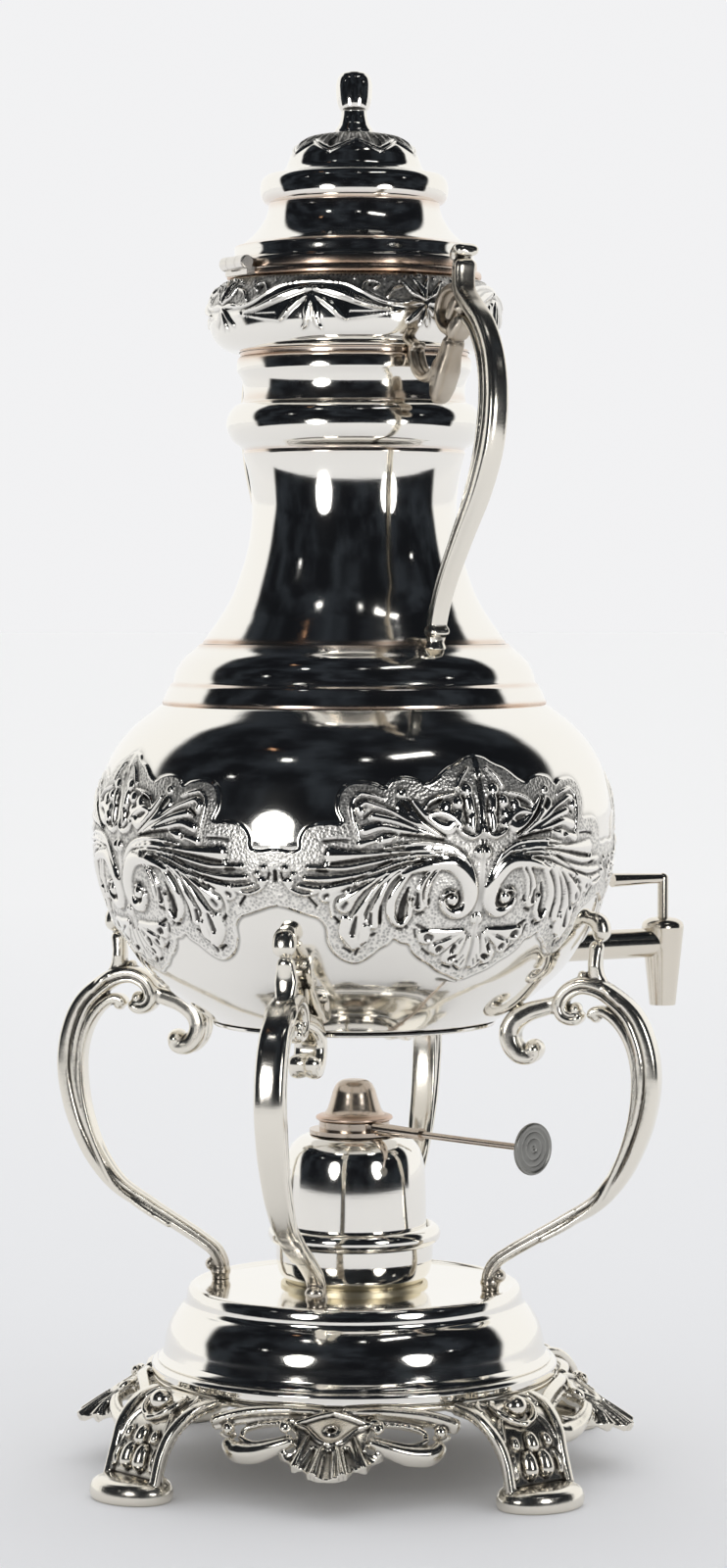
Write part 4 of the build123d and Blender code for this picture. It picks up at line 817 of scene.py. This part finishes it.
dome_outer = along_line(dome_line, np.arange(0, 27.2, 0.2))
dome_inner = np.array([(6.9, 458.4), (12, 457.8), (16, 456.1), (19.4, 453.2), (21.0, 450.0), (22.0, 446.9),
                       (25.0, 445.45)])
chased_shell("dome_look", dome_outer, dome_inner, dome_layers(dome_outer, 960),
             "lid", ["lid_dome"])


# Castings: closed shapes in (outward, aside, up) millimetres at turn 0, joined by a voxel remesh

def section(square=2.0, grooves=(), count=36):
    """Unit outline across a limb, from round (2) to boxy (4), with grooves as (angle, depth, half width)."""
    angle = np.arange(count) * 2 * math.pi / count
    size = (np.abs(np.cos(angle)) ** square + np.abs(np.sin(angle)) ** square) ** (-1 / square)
    for at, depth, width in grooves:
        off = (np.degrees(angle) - at + 180) % 360 - 180
        size = size * (1 - depth * np.exp(-(off / width) ** 2))
    return np.stack([np.cos(angle) * size, np.sin(angle) * size], -1)


ROUND = section()
BOXY = section(3.2)
CHANNEL = section(3.4, [(90, 0.34, 20)])
MOULDED = section(3.6, [(-14, 0.2, 9), (194, 0.2, 9), (-90, 0.12, 22)], 64)


def limb(points, thick, wide, shape=ROUND, side=(0, 1, 0), blunt=True):
    """Closed limb along a smooth path; its outer face looks to the left of the way that it goes."""
    path = smooth([(p[0], 0.0, p[1]) if len(p) == 2 else p for p in points])
    run = run_lengths(path)
    share = run / run[-1]
    tangent = np.gradient(path, axis=0)
    tangent /= np.linalg.norm(tangent, axis=1)[:, None]
    across = np.array(side, float) - tangent * (tangent @ np.array(side, float))[:, None]
    across /= np.linalg.norm(across, axis=1)[:, None]
    outward = np.cross(across, tangent)
    thickness, width = (np.interp(share, np.linspace(0, 1, len(sizes)),
                                  sizes) / 2 for sizes in (thick, wide))
    end = np.ones(len(run))
    if blunt:
        left = np.minimum(run, run[-1] - run)
        rounding = share_of(left / np.minimum(np.minimum(thickness, width), run[-1] / 2))
        end = np.maximum(np.sqrt(1 - (1 - rounding) ** 2), 0.12)
    return closed_skin(path[:, None] + across[:, None] * (shape[None, :, :1] * (width * end)[:, None, None])
                       + outward[:, None] * (shape[None, :, 1:] * (thickness * end)[:, None, None]))


def lump(centre, radii):
    """Ball or egg."""
    polar = np.linspace(0.02, math.pi - 0.02, 14)[:, None]
    angle = np.arange(24)[None] * 2 * math.pi / 24
    points = np.stack([np.sin(polar) * np.cos(angle) * radii[0], np.sin(polar) * np.sin(angle) * radii[1],
                       np.cos(polar) * radii[2] * np.ones_like(angle)], -1)
    return closed_skin(points + np.array(centre), falling=True)


def relief_patch(corners, height, seat, back=-1.6, step=0.4):
    """Slab in a closed outline whose front follows height(across, down); seat maps (across, down, out)."""
    corners = np.array(corners, float)
    low, high = corners.min(0) - step, corners.max(0) + step
    a, d = np.meshgrid(np.arange(low[0], high[0], step), np.arange(low[1], high[1], step))
    keep = inside(a, d, corners) > 0
    cells = keep[:-1, :-1] & keep[1:, :-1] & keep[:-1, 1:] & keep[1:, 1:]
    index = np.arange(a.size).reshape(a.shape)
    quads = np.stack([index[:-1, :-1], index[:-1, 1:], index[1:, 1:], index[1:, :-1]], -1)[cells]
    front = seat(a.ravel(), d.ravel(), height(a, d).ravel())
    rear = seat(a.ravel(), d.ravel(), np.full(a.size, back))
    edges = {}
    for quad in quads.tolist():
        for start, end in zip(quad, quad[1:] + quad[:1]):
            if (end, start) in edges:
                del edges[(end, start)]
            else:
                edges[(start, end)] = True
    faces = quads.tolist() + (quads[:, ::-1] + a.size).tolist()
    faces += [[end, start, start + a.size, end + a.size] for start, end in edges]
    used = sorted({corner for face in faces for corner in face})
    place_of = {old: new for new, old in enumerate(used)}
    return np.vstack([front, rear])[used], [[place_of[corner] for corner in face] for face in faces]


def neighbour_mean(values, edges, count):
    """Mean of the neighbours' values at each vertex."""
    total = np.zeros_like(values)
    np.add.at(total, edges[:, 0], values[edges[:, 1]])
    np.add.at(total, edges[:, 1], values[edges[:, 0]])
    return total / np.maximum(count, 1)[:, None]


SOFTENING = (0.62, -0.64, 0.62, -0.64)  # in and out again by turns, which keeps the volume


def casting(name, parts, voxel=0.42, tarnish=()):
    """Joins closed shapes, softens them and paints their recesses; tarnish is (place, reach, share)."""
    faces, start = [], 0
    for part_points, part_faces in parts:
        faces += [[corner + start for corner in face] for face in part_faces]
        start += len(part_points)
    rough = new_object(name + "_rough", np.vstack([part[0] for part in parts]), faces, sharp=None)
    remesh = rough.modifiers.new("skin", "REMESH")
    remesh.mode = "VOXEL"
    remesh.voxel_size = voxel * 1.0 * MM
    remesh.use_smooth_shade = True
    bpy.context.view_layer.update()
    mesh = bpy.data.meshes.new_from_object(rough.evaluated_get(bpy.context.evaluated_depsgraph_get()))
    bpy.data.objects.remove(rough)
    places = read(mesh.vertices, "co")
    edges = read(mesh.edges, "vertices", int, 2)
    count = np.bincount(edges.ravel(), minlength=len(places)).astype(float)
    for share in SOFTENING:
        places = places + share * (neighbour_mean(places, edges, count) - places)
    mesh.vertices.foreach_set("co", places.ravel())
    mesh.update()
    worn = places
    for _ in range(9):
        worn = worn + 0.7 * (neighbour_mean(worn, edges, count) - worn)
    hollow = ((worn - places) * read(mesh.vertices, "normal")).sum(1) / MM
    brown = np.zeros(len(places))
    for place, reach, share in tarnish:
        far = np.linalg.norm((places / MM - place) / reach, axis=1)
        brown = np.maximum(brown, share * share_of(1.6 - far))
    paint(mesh, "oxide", np.maximum(share_of(hollow * 8.0 - 0.06), 0.35 * brown))
    paint(mesh, "copper", share_of(1.3 * brown))
    mesh.shade_smooth()
    mesh.name = name
    return mesh


def set_casting(mesh, name, turn, nodes):
    """Places a copy of a casting at its turn about the vessel's axis."""
    copy = mesh.copy()
    copy.transform(Matrix.Translation((AXIS_X * MM, 0, 0)) @ Matrix.Rotation(math.radians(turn), 4, "Z"))
    return dress(add_object(name, copy), "urn", cast, nodes)


def mirrored(drawn):
    """Strokes and their mirror images."""
    return [([(way * x, y) for x, y in points], widths, height)
            for way in (-1, 1) for points, widths, height in drawn]


def leg_parts():
    """One scrolled leg: a moulded limb with a scroll and finger on the bowl, and a branch under the bowl."""
    return [
        limb([(48.3, 63.4), (48.2, 66.5), (50.4, 71.2), (56, 75.4), (62.3, 79.2), (74.6, 86.3),
              (86.0, 93.4), (92.8, 101.3), (98.0, 110.9), (102.0, 122.4), (104.0, 134.7), (103.0, 146.2),
              (98.6, 157.2), (92.4, 163.4), (86.4, 167.0), (80.5, 167.8), (75.6, 165.4), (73.4, 161.4),
              (74.6, 157.6), (78.4, 156.6), (81.0, 159.2)],
             [4.6, 4.8, 5.0, 6.0, 7.6, 8.4, 8.4, 8.0, 6.6, 5.8, 5.0],
             [6.4, 6.2, 6.5, 7.4, 8.8, 9.8, 10.4, 10.4, 9.8, 9.2, 8.2], MOULDED),
        # raised bead along the inner side, ending in a small roll under the scroll
        limb([(66, 79.4), (78, 86.4), (86.6, 93.6), (92.6, 104.4), (97.0, 116), (99.4, 128), (99.6, 140),
              (97.0, 149.6), (92.2, 156.4), (87.6, 159.2), (84.6, 158.4), (84.8, 156.2)],
             [2.2, 2.6, 2.8, 3.2, 3.8, 3.8], [7.2, 8.2, 9.0, 9.0, 8.0, 7.0], BOXY),
        lump((85.6, 0, 157.2), (2.1, 3.2, 2.1)),
        lump((78.6, 0, 159.8), (2.3, 4.0, 2.3)),
        # finger on the bowl with its hooked top
        limb([(87.6, 166.6), (86.0, 170.4), (85.4, 175.0), (85.7, 179.6), (86.2, 183.4)],
             [7.0, 5.6, 5.0, 5.0, 5.4], [5.6, 7.0, 7.8, 6.4, 5.2], section(2.6)),
        limb([(85.0, 184.0), (87.3, 186.2), (86.6, 189.4), (83.4, 190.8), (80.6, 190.4)],
             [5.0, 6.8, 6.4, 5.2, 4.4], [5.8, 8.0, 7.8, 6.4, 5.4], section(2.4)),
        limb([(79.6, 172.4), (82.2, 170.6), (84.2, 171.8)], [3.6, 3.4, 2.8], [5.0, 5.0, 4.0]),
        # side leaves where the finger grows out
        *(limb([(95.4, way * 4.2, 161.4), (90.6, way * 4.4, 166.0), (86.8, way * 3.0, 169.2)],
               [2.2, 2.8, 1.8], [2.0, 2.4, 1.8]) for way in (1, -1)),
        # branch under the bowl, rolled up at its end
        limb([(65.4, 147.2), (63.6, 143.6), (59.8, 143.4), (56.6, 146.6), (55.6, 151.0), (57.4, 155.2),
              (62.0, 158.4), (67.0, 160.0), (71.8, 161.4), (75.0, 163.4)],
             [5.4, 6.4, 7.2, 7.6, 7.6, 6.8, 6.2, 6.6], [9.4, 10.8, 11.0, 10.8, 10.2, 8.8, 7.6, 8.2],
             section(3.4, [(-90, 0.3, 26)])),
        lump((64.2, 0, 145.6), (3.6, 5.8, 3.6)),
        lump((58.8, 0, 159.0), (3.4, 3.8, 2.6)),
        # knuckle on the drum
        lump((48.6, 0, 64.2), (3.5, 3.9, 2.9)),
        lump((51.6, 0, 66.6), (2.5, 3.4, 2.4)),
        limb([(48.6, 61.55), (48.6, 63.6)], [6.4, 4.6], [7.0, 5.0], blunt=False),
    ]


def handle_parts():
    """One bowed handle with a rolled thumb-piece, an oval loop, a grooved tongue and a hook on the neck."""
    tongue = section(3.0, [(90, 0.1, 24)])
    return [
        limb([(54.6, 284.6), (55.2, 290.4), (59.8, 302.4), (71.6, 320.4), (82.8, 336.0), (90.0, 351.4),
              (92.4, 366.6), (90.4, 380.0), (84.6, 390.4), (77.6, 396.6), (72.8, 401.4), (72.2, 406.6),
              (73.0, 412.4)],
             [4.4, 5.2, 5.8, 6.6, 7.2, 7.0, 6.2, 5.2, 5.2],
             [6.2, 6.6, 7.0, 7.4, 7.8, 7.6, 7.0, 7.2, 7.8], MOULDED),
        limb([(76.4, 413.4), (73.2, 415.0), (70.6, 413.2), (71.6, 411.0)],
             [3.2, 4.0, 3.6, 2.6], [7.6, 8.6, 8.2, 7.2], BOXY),
        # inner bead of the bow, ending in the loop
        limb([(67.6, 318.8), (77.6, 333.6), (84.2, 348.4), (87.4, 364.6), (86.0, 377.6), (80.6, 387.4),
              (74.4, 392.6)],
             [2.0, 2.8, 3.0, 2.8, 2.4], [5.6, 6.6, 6.8, 6.4, 5.4], BOXY),
        limb([(78.6, 395.4), (73.6, 401.0), (67.4, 402.6), (61.6, 400.4), (59.0, 395.4), (61.4, 390.4),
              (66.4, 388.4), (71.0, 389.6), (74.4, 393.4)],
             [4.0, 3.4, 3.0, 3.0, 3.2, 3.4, 3.2], [6.6, 6.6, 6.4, 6.2, 6.2, 6.6, 6.0], BOXY),
        limb([(63.0, 392.0), (66.2, 396.2), (69.4, 399.8)], [3.6, 4.8, 3.4], [3.8, 4.2, 3.8], section(2.4)),
        lump((72.6, 0, 395.6), (2.4, 3.8, 2.0)), lump((71.8, 0, 391.8), (2.0, 3.6, 1.8)),
        # tongue, with its cross grooves as gaps between swellings
        limb([(73.6, 392.4), (70.2, 389.6), (66.8, 385.6)], [4.6, 5.6, 5.2], [6.2, 8.0, 7.6], tongue),
        limb([(67.4, 386.8), (63.6, 380.6), (60.2, 373.4), (57.0, 367.4), (54.8, 366.2)],
             [5.4, 6.6, 7.8, 6.8, 4.8], [7.4, 7.2, 9.2, 8.6, 6.0], tongue),
        limb([(69.4, 388.2), (68.5, 389.3)], [6.8, 6.8], [8.6, 8.6]),
        limb([(67.0, 384.6), (66.2, 386.0)], [6.8, 6.8], [8.4, 8.4]),
        limb([(60.0, 372.6), (59.4, 373.8)], [8.6, 8.6], [9.8, 9.8]),
        # hook that rests against the neck
        limb([(60.0, 379.6), (54.6, 374.8), (49.4, 373.8), (45.0, 376.2), (42.4, 380.4), (42.0, 384.2),
              (45.0, 385.4)],
             [4.0, 3.4, 3.2, 3.2, 3.2, 2.8], [6.4, 6.0, 6.0, 6.4, 6.2, 5.2], CHANNEL),
        # squared collar and flared foot on the shoulder
        limb([(55.2, 287.2), (55.8, 291.0)], [6.6, 6.4], [7.4, 7.0], section(5.0)),
        limb([(54.4, 283.4), (54.8, 286.0)], [6.8, 4.6], [7.8, 5.4], blunt=False),
        lump((55.4, 2.4, 289.2), (3.3, 1.6, 2.0)), lump((55.4, -2.4, 289.2), (3.3, 1.6, 2.0)),
    ]


def foot_parts():
    """One foot: domed pad, bracket with double-ridged edges, three drops and a ball in a leaf scroll."""
    face = smooth([(72.0, 31.4), (80.0, 30.0), (87.4, 25.4), (92.2, 17.6), (95.6, 8.0), (97.0, 2.5)], 0.4)
    face_run = run_lengths(face)
    slope = np.gradient(face, axis=0)
    slope /= np.linalg.norm(slope, axis=1)[:, None]

    def on_face(across, down, out):
        """Point over the bracket's face: aside, down along it from the ring, and out of it."""
        (r, z), (dr, dz) = (points_at(line, face_run, np.asarray(down, float)).T for line in (face, slope))
        return np.stack([r - dz * out, np.asarray(across, float), z + dr * out], -1)

    def spot(across, down, out=0.0):
        return tuple(on_face(np.array([across]), np.array([down]), np.array([out]))[0])

    def spots(way, *places):
        return [spot(way * across, down, out) for across, down, out in places]

    def drop(across, top, bottom, size):
        """Teardrop bead standing on the face."""
        sizes = [size * 0.5, size * 0.9, size, size * 0.9]
        places = [(across * 0.9, top, 0.6), (across, (top + bottom) / 2, 1.2), (across, bottom, 0.8)]
        return limb(spots(1, *places), sizes, sizes)

    outline = [(-17.2, 0), (17.2, 0), (16.0, 10), (14.4, 20), (13.0, 28), (13.4, 41), (-13.4, 41),
               (-13.0, 28), (-14.4, 20), (-16.0, 10)]
    veins = mirrored([([(1, 9), (6, 12), (10.4, 19), (11, 34)], [0.6, 1.0, 0.9, 0.5], 1.0),
                      ([(13, 2), (9, 5), (7, 9)], [0.6, 1.1, 0.6], 1.0),
                      ([(11, 1), (7.5, 3.4), (6, 7)], [0.5, 0.9, 0.5], 0.9)])
    parts = [relief_patch(outline, lambda a, d: 0.4 + strokes(a, d, veins), on_face, -2.6)]
    flat = (0.4, 0, 1)
    for way in (-1, 1):
        edge = spots(way, (16.4, 0.5, 0.7), (15.4, 10, 0.7), (13.8, 20, 0.7), (12.6, 28, 0.7),
                     (12.9, 40.0, 0.7))
        curl = spots(way, (1.0, 17.2, 1.4), (5.0, 15.4, 1.9), (7.6, 11.2, 1.9), (6.8, 6.4, 1.6),
                     (3.8, 5.4, 1.4))
        tuft = spots(way, (8.4, 2.6, 1.2), (11.6, 5.4, 1.0), (12.4, 9.8, 0.8))
        parts += [
            limb(edge, [2.8, 3.0, 2.8], [3.8, 3.8, 3.4], CHANNEL, side=(-0.2, 1, 0)),
            drop(way * 3.4, 25.6, 35.4, 5.8), drop(way * 7.0, 20.6, 25.6, 3.2),
            drop(way * 9.8, 26.5, 35.0, 2.2),
            limb(curl, [1.8, 2.4, 2.2, 1.8], [2.0, 2.6, 2.4, 1.8], side=flat),
            limb(tuft, [1.6, 2.2, 1.4], [2.0, 2.6, 1.4], side=flat),
        ]
    bridge = spots(1, (-2.6, 16.6, 1.6), (0, 17.6, 2.0), (2.6, 16.6, 1.6))
    parts += [drop(0, 19.4, 27.0, 5.0), lump(spot(0, 11.0, 2.8), (3.9, 4.2, 3.9)),
              limb(bridge, [1.6, 2.2, 1.6], [1.8, 2.2, 1.8], side=flat)]
    # pad: a thick oval with a rolled top edge
    sides = 64
    lift = np.concatenate([[0.02, 0.5, 1.3, 2.2], np.linspace(3.0, 7.4, 16)])
    bulge = np.interp(lift, [0, 1.0, 2.6, 4.2, 5.6, 6.6, 7.1, 7.4],
                      [0.95, 0.985, 1.0, 0.98, 0.93, 0.84, 0.72, 0.5])
    angle = np.arange(sides) * 2 * math.pi / sides
    ring = np.stack([np.cos(angle) * 12.8, np.sin(angle) * 16.2], -1)
    pad = [np.column_stack([96.6 + ring[:, 0] * size, ring[:, 1] * size, np.full(sides, height)])
           for size, height in zip(bulge, lift)]
    parts.append(closed_skin(np.array(pad)))
    parts.append(limb([(68.5, 30.4), (72.6, 30.6)], [2.6, 2.6], [35, 35], section(6.0), blunt=False))
    return parts


def skirt_parts():
    """One pierced panel: fluted shield with a framed boss, ridged straps, beads, swags and small curls."""
    top, slope = np.array([71.0, 30.6]), np.array([26.0, -16.5]) / 30.79
    boss_down = 9.4

    def on_shield(across, down, out):
        """Point over the shield's face: aside, down along it, and out of it."""
        across, down, out = (np.asarray(value, float) for value in (across, down, out))
        bend = 1.0 - 0.0016 * across ** 2
        return np.stack([top[0] + down * slope[0] * bend - slope[1] * out, across + 0 * down,
                         top[1] + down * slope[1] + slope[0] * out], -1)

    def arcs(way, *places):
        """Points (turn from the panel's middle, radius, height) along the ring."""
        return [(radius * math.cos(math.radians(way * turn)),
                 radius * math.sin(math.radians(way * turn)), height)
                for turn, radius, height in places]

    def ledge(points, thick, wide, shape=ROUND):
        """Limb whose broad face looks up and outwards."""
        return limb(points, thick, wide, shape, side=(0.45, 0, 1))

    def batten(points, thick):
        """Square bar that joins the panel to the ring."""
        return limb(points, thick, [2.6] * len(thick), BOXY, side=(0, 0, 1), blunt=False)

    outline = [(-3.4, 0), (3.4, 0), (9, 3.0), (15.4, 6.6), (14.6, 9.4), (12.2, 12), (11.6, 17),
               (12.4, 20.6), (17.4, 22.4), (17.6, 24.2), (14, 25.4), (12.4, 29.4), (8.6, 27.2), (6.6, 30.6),
               (3.6, 31.4)]
    outline += [(-x, y) for x, y in reversed(outline)]
    ridges = mirrored([
        ([(0, 1.6), (6, 3.8), (12.6, 7.6)], [1.0, 1.0, 0.9], 1.7),
        ([(12.6, 7.6), (8.4, 9.2), (6.8, 11), (3.6, 14.6), (0, 16.2)], [0.7, 0.9, 1.0, 1.1], 1.4),
        ([(13.6, 8.2), (12.6, 12.6), (13.4, 18), (16.6, 23.2)], [0.7, 0.9, 1.1, 1.2], 1.3),
        ([(7.6, 13.0), (9.6, 20), (12.0, 28.2)], [0.5, 0.9, 1.5], 1.4),
        ([(2.4, 17.4), (3.4, 22), (4.9, 30.4)], [0.6, 1.0, 1.4], 1.5),
    ])
    hollows = mirrored([([(0, 19), (0, 31)], [1.2, 2.2], 1.0), ([(5.4, 18), (8.4, 28)], [1.0, 2.0], 1.2),
                        ([(11, 20), (14.4, 25.6)], [0.8, 1.6], 1.0)])

    def shield_height(across, down):
        far = np.hypot(across, down - boss_down)
        boss = 0.8 * np.exp(-((far - 1.9) / 0.6) ** 2)
        hole = -1.9 * (far < 1.25)
        ribs, flutes = (strokes(across, down, drawn) for drawn in (ridges, hollows))
        return 0.6 + ribs * 0.9 + boss + hole - flutes * 0.9

    parts = [relief_patch(outline, shield_height, on_shield, -1.8, 0.36)]
    for way in (-1, 1):
        strap = arcs(way, (2, 72.0, 30.2), (10, 73.2, 30.4), (18, 73.8, 29.6), (26, 75.6, 27.8),
                     (32, 78.8, 25.2))
        inner = arcs(way, (6, 73.6, 27.2), (12, 74.6, 27.0), (19, 75.0, 25.8), (23.2, 76.4, 23.6),
                     (23.0, 78.2, 21.2))
        beads = arcs(way, *((7.5 + 1.5 * k, 75.2 + 0.05 * k, 26.9 - 0.012 * k * k) for k in range(9)))
        boss = arcs(way, (27.0, 78.0, 24.2))
        hook = arcs(way, (25.0, 77.4, 22.6), (27.4, 77.0, 21.4), (29.6, 78.2, 22.6))
        swag = arcs(way, (8.2, 82.6, 23.0), (13.0, 83.0, 20.4), (18.4, 82.0, 17.8), (24.0, 80.8, 17.6),
                    (27.4, 79.2, 20.4))
        fold = arcs(way, (9, 82.0, 24.4), (14, 82.6, 22.4), (19, 81.8, 21.0), (23.4, 79.8, 22.4))
        corner_curl = [(r, way * across, z) for r, across, z in
                       ((75.6, 12.4, 28.4), (77.4, 15.8, 28.2), (79.6, 16.2, 26.6), (80.0, 14.0, 25.8))]
        parts += [
            ledge(strap, [3.2, 4.0, 4.2, 3.8], [4.0, 5.4, 5.8, 5.0], CHANNEL),
            ledge(inner, [1.8, 2.0, 2.0], [2.2, 2.4, 2.4]),
            *(lump(place, (0.75, 0.75, 0.75)) for place in beads),
            lump(boss[0], (2.3, 2.3, 2.3)),
            ledge(hook, [1.6, 2.0, 1.8], [2.2, 2.4, 2.2]),
            ledge(swag, [3.2, 4.6, 6.0, 6.4, 4.4], [3.8, 5.2, 6.8, 7.0, 4.8], section(2.4)),
            ledge(fold, [1.4, 1.8, 1.6], [1.8, 2.0, 1.8]),
            ledge(corner_curl, [1.8, 2.4, 2.0], [2.2, 2.8, 2.2]),
            lump((79.0, way * 14.9, 27.2), (1.7, 1.7, 1.7)),
            *(batten(arcs(way, *((turn + more, 68.0, 30.6) for more in (0, 4, 8))), [4.6, 4.6, 4.6])
              for turn in (6, 14, 22, 30)),
        ]
    parts.append(batten([(68.0, -8.5, 30.6), (68.4, 0, 30.6), (68.0, 8.5, 30.6)], [5.4, 5.4]))
    return parts


FOOT_TURN = 9.7
leg_mesh = casting("leg_casting", leg_parts(), tarnish=[((48.5, 0, 64.0), (7.0, 7.0, 7.0), 0.35)])
handle_mesh = casting("handle_casting", handle_parts(),
                      tarnish=[((58.0, 0, 378.0), (22.0, 20.0, 20.0), 0.62),
                               ((66.0, 0, 396.0), (12.0, 20.0, 12.0), 0.5)])
foot_mesh = casting("foot_casting", foot_parts(), 0.36)
skirt_mesh = casting("skirt_casting", skirt_parts(), 0.36)
for number in range(1, 5):
    set_casting(leg_mesh, f"leg_look_{number}", 90 * number - 45, [f"leg_{number}"])
for label, turn in (("front", -90.0), ("back", 84.0)):
    set_casting(handle_mesh, f"handle_look_{label}", turn, [f"handle_{label}"])
for number in range(1, 5):
    turn = FOOT_TURN + 90 * (number - 1)
    set_casting(foot_mesh, f"foot_look_{number}", turn, [f"foot_{number}"])
    set_casting(skirt_mesh, f"skirt_look_{number}", turn + 45, [f"skirt_{number}"])


# The room: white round the back and sides, dark behind the camera, with two soft boxes in it

# Metres from here on
AXIS_FOOT = Vector((AXIS_X * MM, 0, 0))
FRONT = Vector((math.cos(math.radians(CAMERA_TURN)), math.sin(math.radians(CAMERA_TURN)), 0))
ASIDE = Vector((-FRONT[1], FRONT[0], 0))


def room():
    world = bpy.data.worlds.new("room")
    bpy.context.scene.world = world
    tree = Nodes(world)
    way = tree.add("TexCoord").outputs["Generated"]

    def step(value, low, high):
        return tree.add("MapRange", {"Value": value, "From Min": low, "From Max": high},
                        interpolation_type="SMOOTHSTEP").outputs["Result"]

    def towards(vector):
        return tree.add("VectorMath", {0: way, 1: vector}, operation="DOT_PRODUCT").outputs["Value"]

    # dark share: all ahead of the vessel's own plane, which shows below too, beyond the table's front edge
    raised = tree.maths("MAXIMUM", towards((0, 0, 1)), 0.0)
    dim = step(tree.maths("ADD", towards(FRONT), tree.maths("MULTIPLY", raised, 0.4)), -0.2, -0.11)
    clouds = tree.add("TexNoise", {"Vector": way, "Scale": 3.2, "Detail": 4.0}).outputs["Fac"]
    shade = tree.blend(step(clouds, 0.4, 0.72), (0.007, 0.008, 0.010), (0.026, 0.031, 0.038))
    seen = tree.blend(dim, (0.98, 0.98, 0.97), shade)
    to_camera = tree.add("LightPath").outputs["Is Camera Ray"]
    background = tree.add("Background", {"Color": tree.blend(to_camera, seen, (0.885, 0.885, 0.895)),
                                         "Strength": 1.0})
    tree.add("OutputWorld", {"Surface": background.outputs[0]})


FAR = 2.6
NEAR = 0.6
LAMP_AIM = 0.25


def lamp(name, turn, rise, distance, size, radiance, tint=(1, 1, 1), shape="RECTANGLE"):
    """Soft box at a turn from the camera's side and an elevation, aimed at the vessel's middle."""
    light = bpy.data.lights.new(name, "AREA")
    light.shape = shape
    light.size, light.size_y = size
    light.color = tint
    light.energy = radiance * math.pi * size[0] * size[1]
    thing = add_object(name, light)
    way = math.radians(CAMERA_TURN + turn)
    lift = math.radians(rise)
    out = Vector((math.cos(way) * math.cos(lift), math.sin(way) * math.cos(lift), math.sin(lift)))
    thing.location = AXIS_FOOT + Vector((0, 0, LAMP_AIM)) + out * distance
    thing.rotation_euler = out.to_track_quat("Z", "Y").to_euler()
    thing.visible_camera = False
    thing.visible_diffuse = distance > NEAR


room()
for name, turn in (("box_left", -33), ("box_right", 38)):
    lamp(name, turn, 1, NEAR, (0.18, 0.24), 4.6, shape="ELLIPSE")
lamp("strip_high", 42, 60, FAR, (0.7, 0.16), 3.0)
lamp("spot_high", -43, 54, FAR, (0.14, 0.10), 5.0)
for number, (turn, rise) in enumerate([(-62, 30), (66, 26), (8, 58)], 1):
    lamp(f"spark_{number}", turn, rise, FAR, (0.10, 0.10), 2.2)
lamp("spot_warm", -66, 62, FAR, (0.12, 0.05), 1.2, (1.0, 0.55, 0.3))

overhead = bpy.data.lights.new("overhead", "SUN")
overhead.energy = 2.36
overhead.angle = math.radians(150)
canopy = add_object("overhead", overhead)
canopy.rotation_euler = (math.radians(12), math.radians(-8), 0)
canopy.visible_glossy = False
canopy.visible_camera = False

# The table: its front edge is an arc, so that the dark room is mirrored below it too
FLOOR_FRONT = 1240.0  # millimetres, as for every mesh
FLOOR_SPAN = 30000.0
TABLE_SIDE = 99.0
ARC_POINTS = 27
turns_along = np.radians(np.linspace(TABLE_SIDE, -TABLE_SIDE, ARC_POINTS))
reaches = np.pad(np.full(ARC_POINTS, FLOOR_FRONT), 1, constant_values=FLOOR_SPAN)
turns_along = np.pad(turns_along, 1, "edge")
rim_points = [*zip(reaches * np.cos(turns_along), reaches * np.sin(turns_along)),
              (-FLOOR_SPAN, -FLOOR_SPAN), (-FLOOR_SPAN, FLOOR_SPAN)]
floor_corners = [FRONT * out + ASIDE * side for out, side in rim_points]
floor = new_object("floor", floor_corners, [list(range(len(floor_corners)))[::-1]])


def paper_with_painted_shade():
    """Plain pale paper with painted shade: darker near the vessel, growing a little paler away from it."""
    paper = bpy.data.materials.new("paper")
    tree = Nodes(paper)
    place = tree.add("TexCoord").outputs["Object"]
    far = tree.add("VectorMath", {0: place}, operation="LENGTH").outputs["Value"]
    painted_shade_fade = tree.add("MapRange", {"Value": far, "From Min": 0.15, "From Max": 2.6}).outputs["Result"]
    # painted shade: the paper's colour is darker close to the vessel and paler further out
    tone = tree.ramp(painted_shade_fade, (0.82, 0.825, 0.845), (0.918, 0.918, 0.925))
    tree.surface(Base_Color=tone, Roughness=0.9, Specular_IOR_Level=0.1)
    return paper


floor.data.materials.append(paper_with_painted_shade())

EYE_DISTANCE = 1.424
EYE_HEIGHT = 0.302
EYE_ASIDE = 0.0032
EYE_DIP = 2.66
camera = bpy.data.cameras.new("camera")
camera.lens = 94.5
camera.sensor_width = 36.0
camera.clip_start, camera.clip_end = 0.05, 50.0
seat = add_object("camera", camera)
bpy.context.scene.camera = seat
seat.location = AXIS_FOOT + FRONT * EYE_DISTANCE + ASIDE * EYE_ASIDE + Vector((0, 0, EYE_HEIGHT))
seat.rotation_euler = (math.radians(90 - EYE_DIP), 0, math.radians(CAMERA_TURN + 90))
bpy.context.scene.view_settings.view_transform = "Standard"


# Finish of the solids that stay, by their slots

own_looks = {"spindle_sleeve": sleeve_metal, "knob_spindle": sleeve_metal, "burner_gallery": sleeve_metal,
             "hinge_pin": hinge_silver, "rim_hinge_leaf": hinge_silver, "lid_hinge_leaf": hinge_silver}
node_slots = {row["node"]: row["material_slot"] for row in frame["record"]["subparts"]}
for label, thing in frame["nodes"].items():
    if thing.hide_render:
        continue
    kept = own_looks.get(label, slot_looks.get(node_slots.get(label), cast))
    thing.data.materials.clear()
    thing.data.materials.append(kept)
